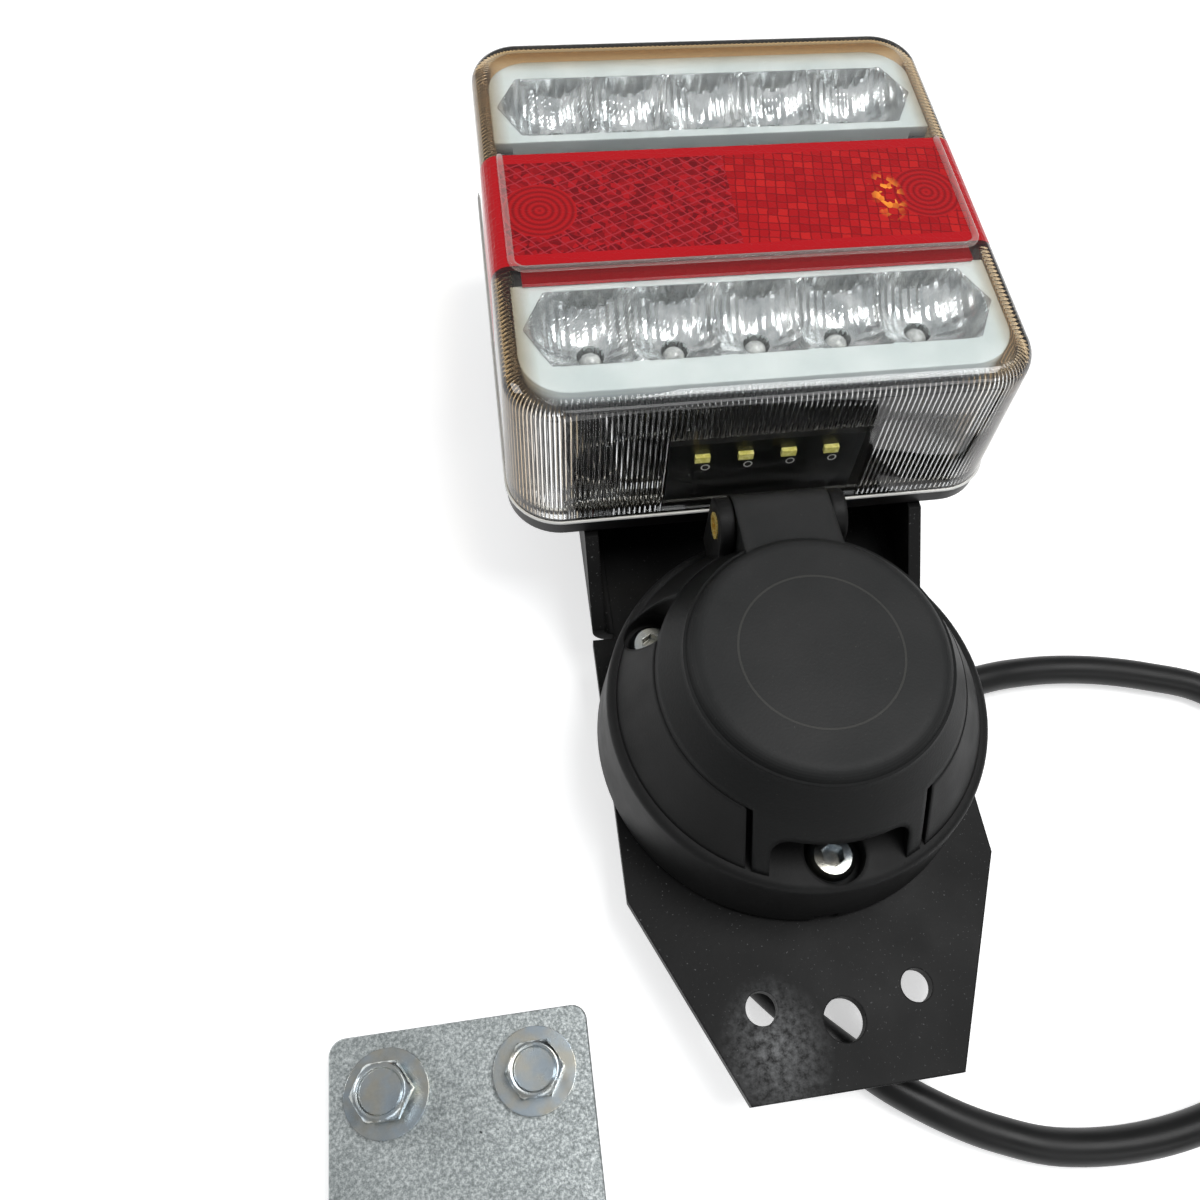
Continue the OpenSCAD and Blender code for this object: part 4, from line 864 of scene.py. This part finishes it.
def make_bolts():
    """Two hexagon bolts. Each row is a ring whose radius is the smaller of a hexagon's,
    flats / (2 cos(angle from the middle of a flat)), and a round limit: up the shank, out
    under the head, up its flats, in over the chamfer and down into the dish on top."""
    columns = 72
    angle = np.arange(columns) * 2 * math.pi / columns
    from_flat = angle % (math.pi / 3) - math.pi / 6
    hexagon = BOLT_FLATS / 2 / np.cos(from_flat)
    points = []
    faces = []
    for x, base in BOLTS:
        # The round limit and the height of each ring
        profile = np.array([
            (2.4, FLOOR_Z), (BOLT_SHANK_R, FLOOR_Z + 0.6), (BOLT_SHANK_R, base),
            (4.9, base), (9.0, base + 0.15), (9.0, base + BOLT_HEAD_H - 1.3),
            (5.45, base + BOLT_HEAD_H - 0.75), (5.1, base + BOLT_HEAD_H - 0.4),
            (4.75, base + BOLT_HEAD_H - 0.1), (4.5, base + BOLT_HEAD_H),
            (4.1, base + BOLT_HEAD_H - 0.05), (3.8, base + BOLT_HEAD_H - 0.45),
            (1.0, base + BOLT_HEAD_H - 0.5)])
        radius = np.minimum(hexagon[None, :], profile[:, :1])
        rise = np.broadcast_to(profile[:, 1:], radius.shape)
        ring = np.stack([x + radius * np.cos(angle), radius * np.sin(angle), rise], -1)
        first = len(points) * len(profile) * columns
        last = first + (len(profile) - 1) * columns
        faces += (grid_quads(len(profile), columns) + first).tolist()
        faces.append(list(range(first + columns - 1, first - 1, -1)))
        faces.append(list(range(last, last + columns)))
        points.append(ring.reshape(-1, 3))
    piece = add_piece("hexagon_bolts", np.concatenate(points), faces, zinc)
    piece.data.set_sharp_from_angle(angle=math.radians(25))
    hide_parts("plate_bolts")


PLATE_X = (-99.5, -49.5)
PLATE_Y = (-49.0, 11.0)
PLATE_Z = (-11.0, -8.0)
PLATE_CORNER = 3.0
PLATE_EDGE = 0.3
BOLT_HOLE_R = 3.2


def make_plate():
    """The fixing plate: rings of a rectangle with round corners, each corner its centre plus
    radius times (cos, sin), over a small edge top and bottom, less the two bolt holes."""
    angle = np.radians(np.linspace(0, 90, 10))[None, :] + np.radians([[0], [90], [180], [270]])
    half_x = (PLATE_X[1] - PLATE_X[0]) / 2 - PLATE_CORNER
    half_y = (PLATE_Y[1] - PLATE_Y[0]) / 2 - PLATE_CORNER
    corner_x = sum(PLATE_X) / 2 + np.array([[1], [-1], [-1], [1]]) * half_x
    corner_y = sum(PLATE_Y) / 2 + np.array([[1], [1], [-1], [-1]]) * half_y
    low, high = PLATE_Z
    rows = []
    for inset, z in ((PLATE_EDGE, low), (0.0, low + PLATE_EDGE), (0.0, high - PLATE_EDGE),
                     (PLATE_EDGE, high)):
        x = corner_x + (PLATE_CORNER - inset) * np.cos(angle)
        y = corner_y + (PLATE_CORNER - inset) * np.sin(angle)
        rows.append(np.stack([x, y, np.full(x.shape, z)], -1).reshape(-1, 3))
    columns = len(rows[0])
    faces = grid_quads(len(rows), columns).tolist()
    faces.append(list(range(columns - 1, -1, -1)))
    faces.append(list(range(3 * columns, 4 * columns)))
    piece = add_piece("galvanised_plate", np.concatenate(rows), faces, galvanised)
    around = 40
    turn = np.arange(around) * 2 * math.pi / around
    ring = np.stack([BOLT_HOLE_R * np.cos(turn), BOLT_HOLE_R * np.sin(turn), 0 * turn], -1)
    sides = grid_quads(2, around).tolist()
    sides.append(list(range(around - 1, -1, -1)))
    sides.append(list(range(around, 2 * around)))
    for x, _ in BOLTS:
        ends = np.array([(x, 0.0, low - 1), (x, 0.0, high + 1)])
        cut_away(piece, (ends[:, None] + ring[None]).reshape(-1, 3), sides)
    piece.data.shade_smooth()
    piece.data.set_sharp_from_angle(angle=math.radians(40))
    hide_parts("fixing_plate")


make_bolts()
make_plate()


# Floor and light

FLOOR_HALF = 3000
FLOOR_GLOW = 0.5
WORLD_LIGHT = 0.42
WORLD_SEEN = 1.0


def pale_floor():
    """A plain pale floor that the camera, metal and clear parts see as near white, and that
    keeps the object's shadow."""
    made, tree, _ = start("pale_floor")
    paint = node(tree, "BsdfDiffuse", {"Color": "#f0f0f0"})
    rays = node(tree, "LightPath")
    mirrored = node(tree, "Math", {0: rays.outputs["Is Glossy Ray"],
                                   1: rays.outputs["Is Transmission Ray"]}, operation="MAXIMUM")
    seen = node(tree, "Math", {0: rays.outputs["Is Camera Ray"], 1: mirrored},
                operation="MAXIMUM")
    strength = node(tree, "Math", {0: seen, 1: FLOOR_GLOW}, operation="MULTIPLY")
    glow = node(tree, "Emission", {"Color": "#ffffff", "Strength": strength})
    return close(made, tree, node(tree, "AddShader", {0: paint, 1: glow}))


def make_stage():
    """A wide flat floor, which is not part of the object."""
    corners = np.array([(x * FLOOR_HALF, y * FLOOR_HALF, FLOOR_Z)
                        for x, y in ((-1, -1), (1, -1), (1, 1), (-1, 1))])
    mesh = bpy.data.meshes.new("floor")
    mesh.from_pydata((corners * MM).tolist(), [], [(0, 1, 2, 3)])
    mesh.materials.append(pale_floor())
    floor = bpy.data.objects.new("floor", mesh)
    scene.collection.objects.link(floor)


def add_lamp(name, place, target, size, power):
    """A soft rectangular lamp of a size and at a place in millimetres, aimed at a target."""
    data = bpy.data.lights.new(name, "AREA")
    data.shape = "RECTANGLE"
    data.size = size[0] * MM
    data.size_y = size[1] * MM
    data.energy = power
    lamp = bpy.data.objects.new(name, data)
    scene.collection.objects.link(lamp)
    aim = Vector(target) - Vector(place)
    lamp.rotation_mode = "QUATERNION"
    lamp.rotation_quaternion = aim.to_track_quat("-Z", "Y")
    lamp.location = Vector(place) * MM


def make_world():
    """A pale sky that lights the object at WORLD_LIGHT, and that the camera and the clear
    parts see near white, at WORLD_SEEN."""
    world = bpy.data.worlds.new("studio")
    scene.world = world
    world.use_nodes = True
    tree = world.node_tree
    sky = tree.nodes["Background"]
    sky.inputs["Color"].default_value = colour("#eef0f2")
    rays = node(tree, "LightPath")
    seen = node(tree, "Math", {0: rays.outputs["Is Camera Ray"],
                               1: rays.outputs["Is Transmission Ray"]}, operation="MAXIMUM")
    strength = node(tree, "MapRange", {"Value": seen, "To Min": WORLD_LIGHT,
                                       "To Max": WORLD_SEEN})
    tree.links.new(strength.outputs[0], sky.inputs["Strength"])


LAMP_AIM = (0, 90, 0)
make_stage()
add_lamp("key", (300, 60, 900), LAMP_AIM, (500, 400), 5.5)
add_lamp("side", (-800, 300, 500), LAMP_AIM, (300, 500), 2.5)
add_lamp("fill", (300, -800, 500), LAMP_AIM, (600, 300), 1.5)
make_world()
scene.view_settings.view_transform = "Standard"
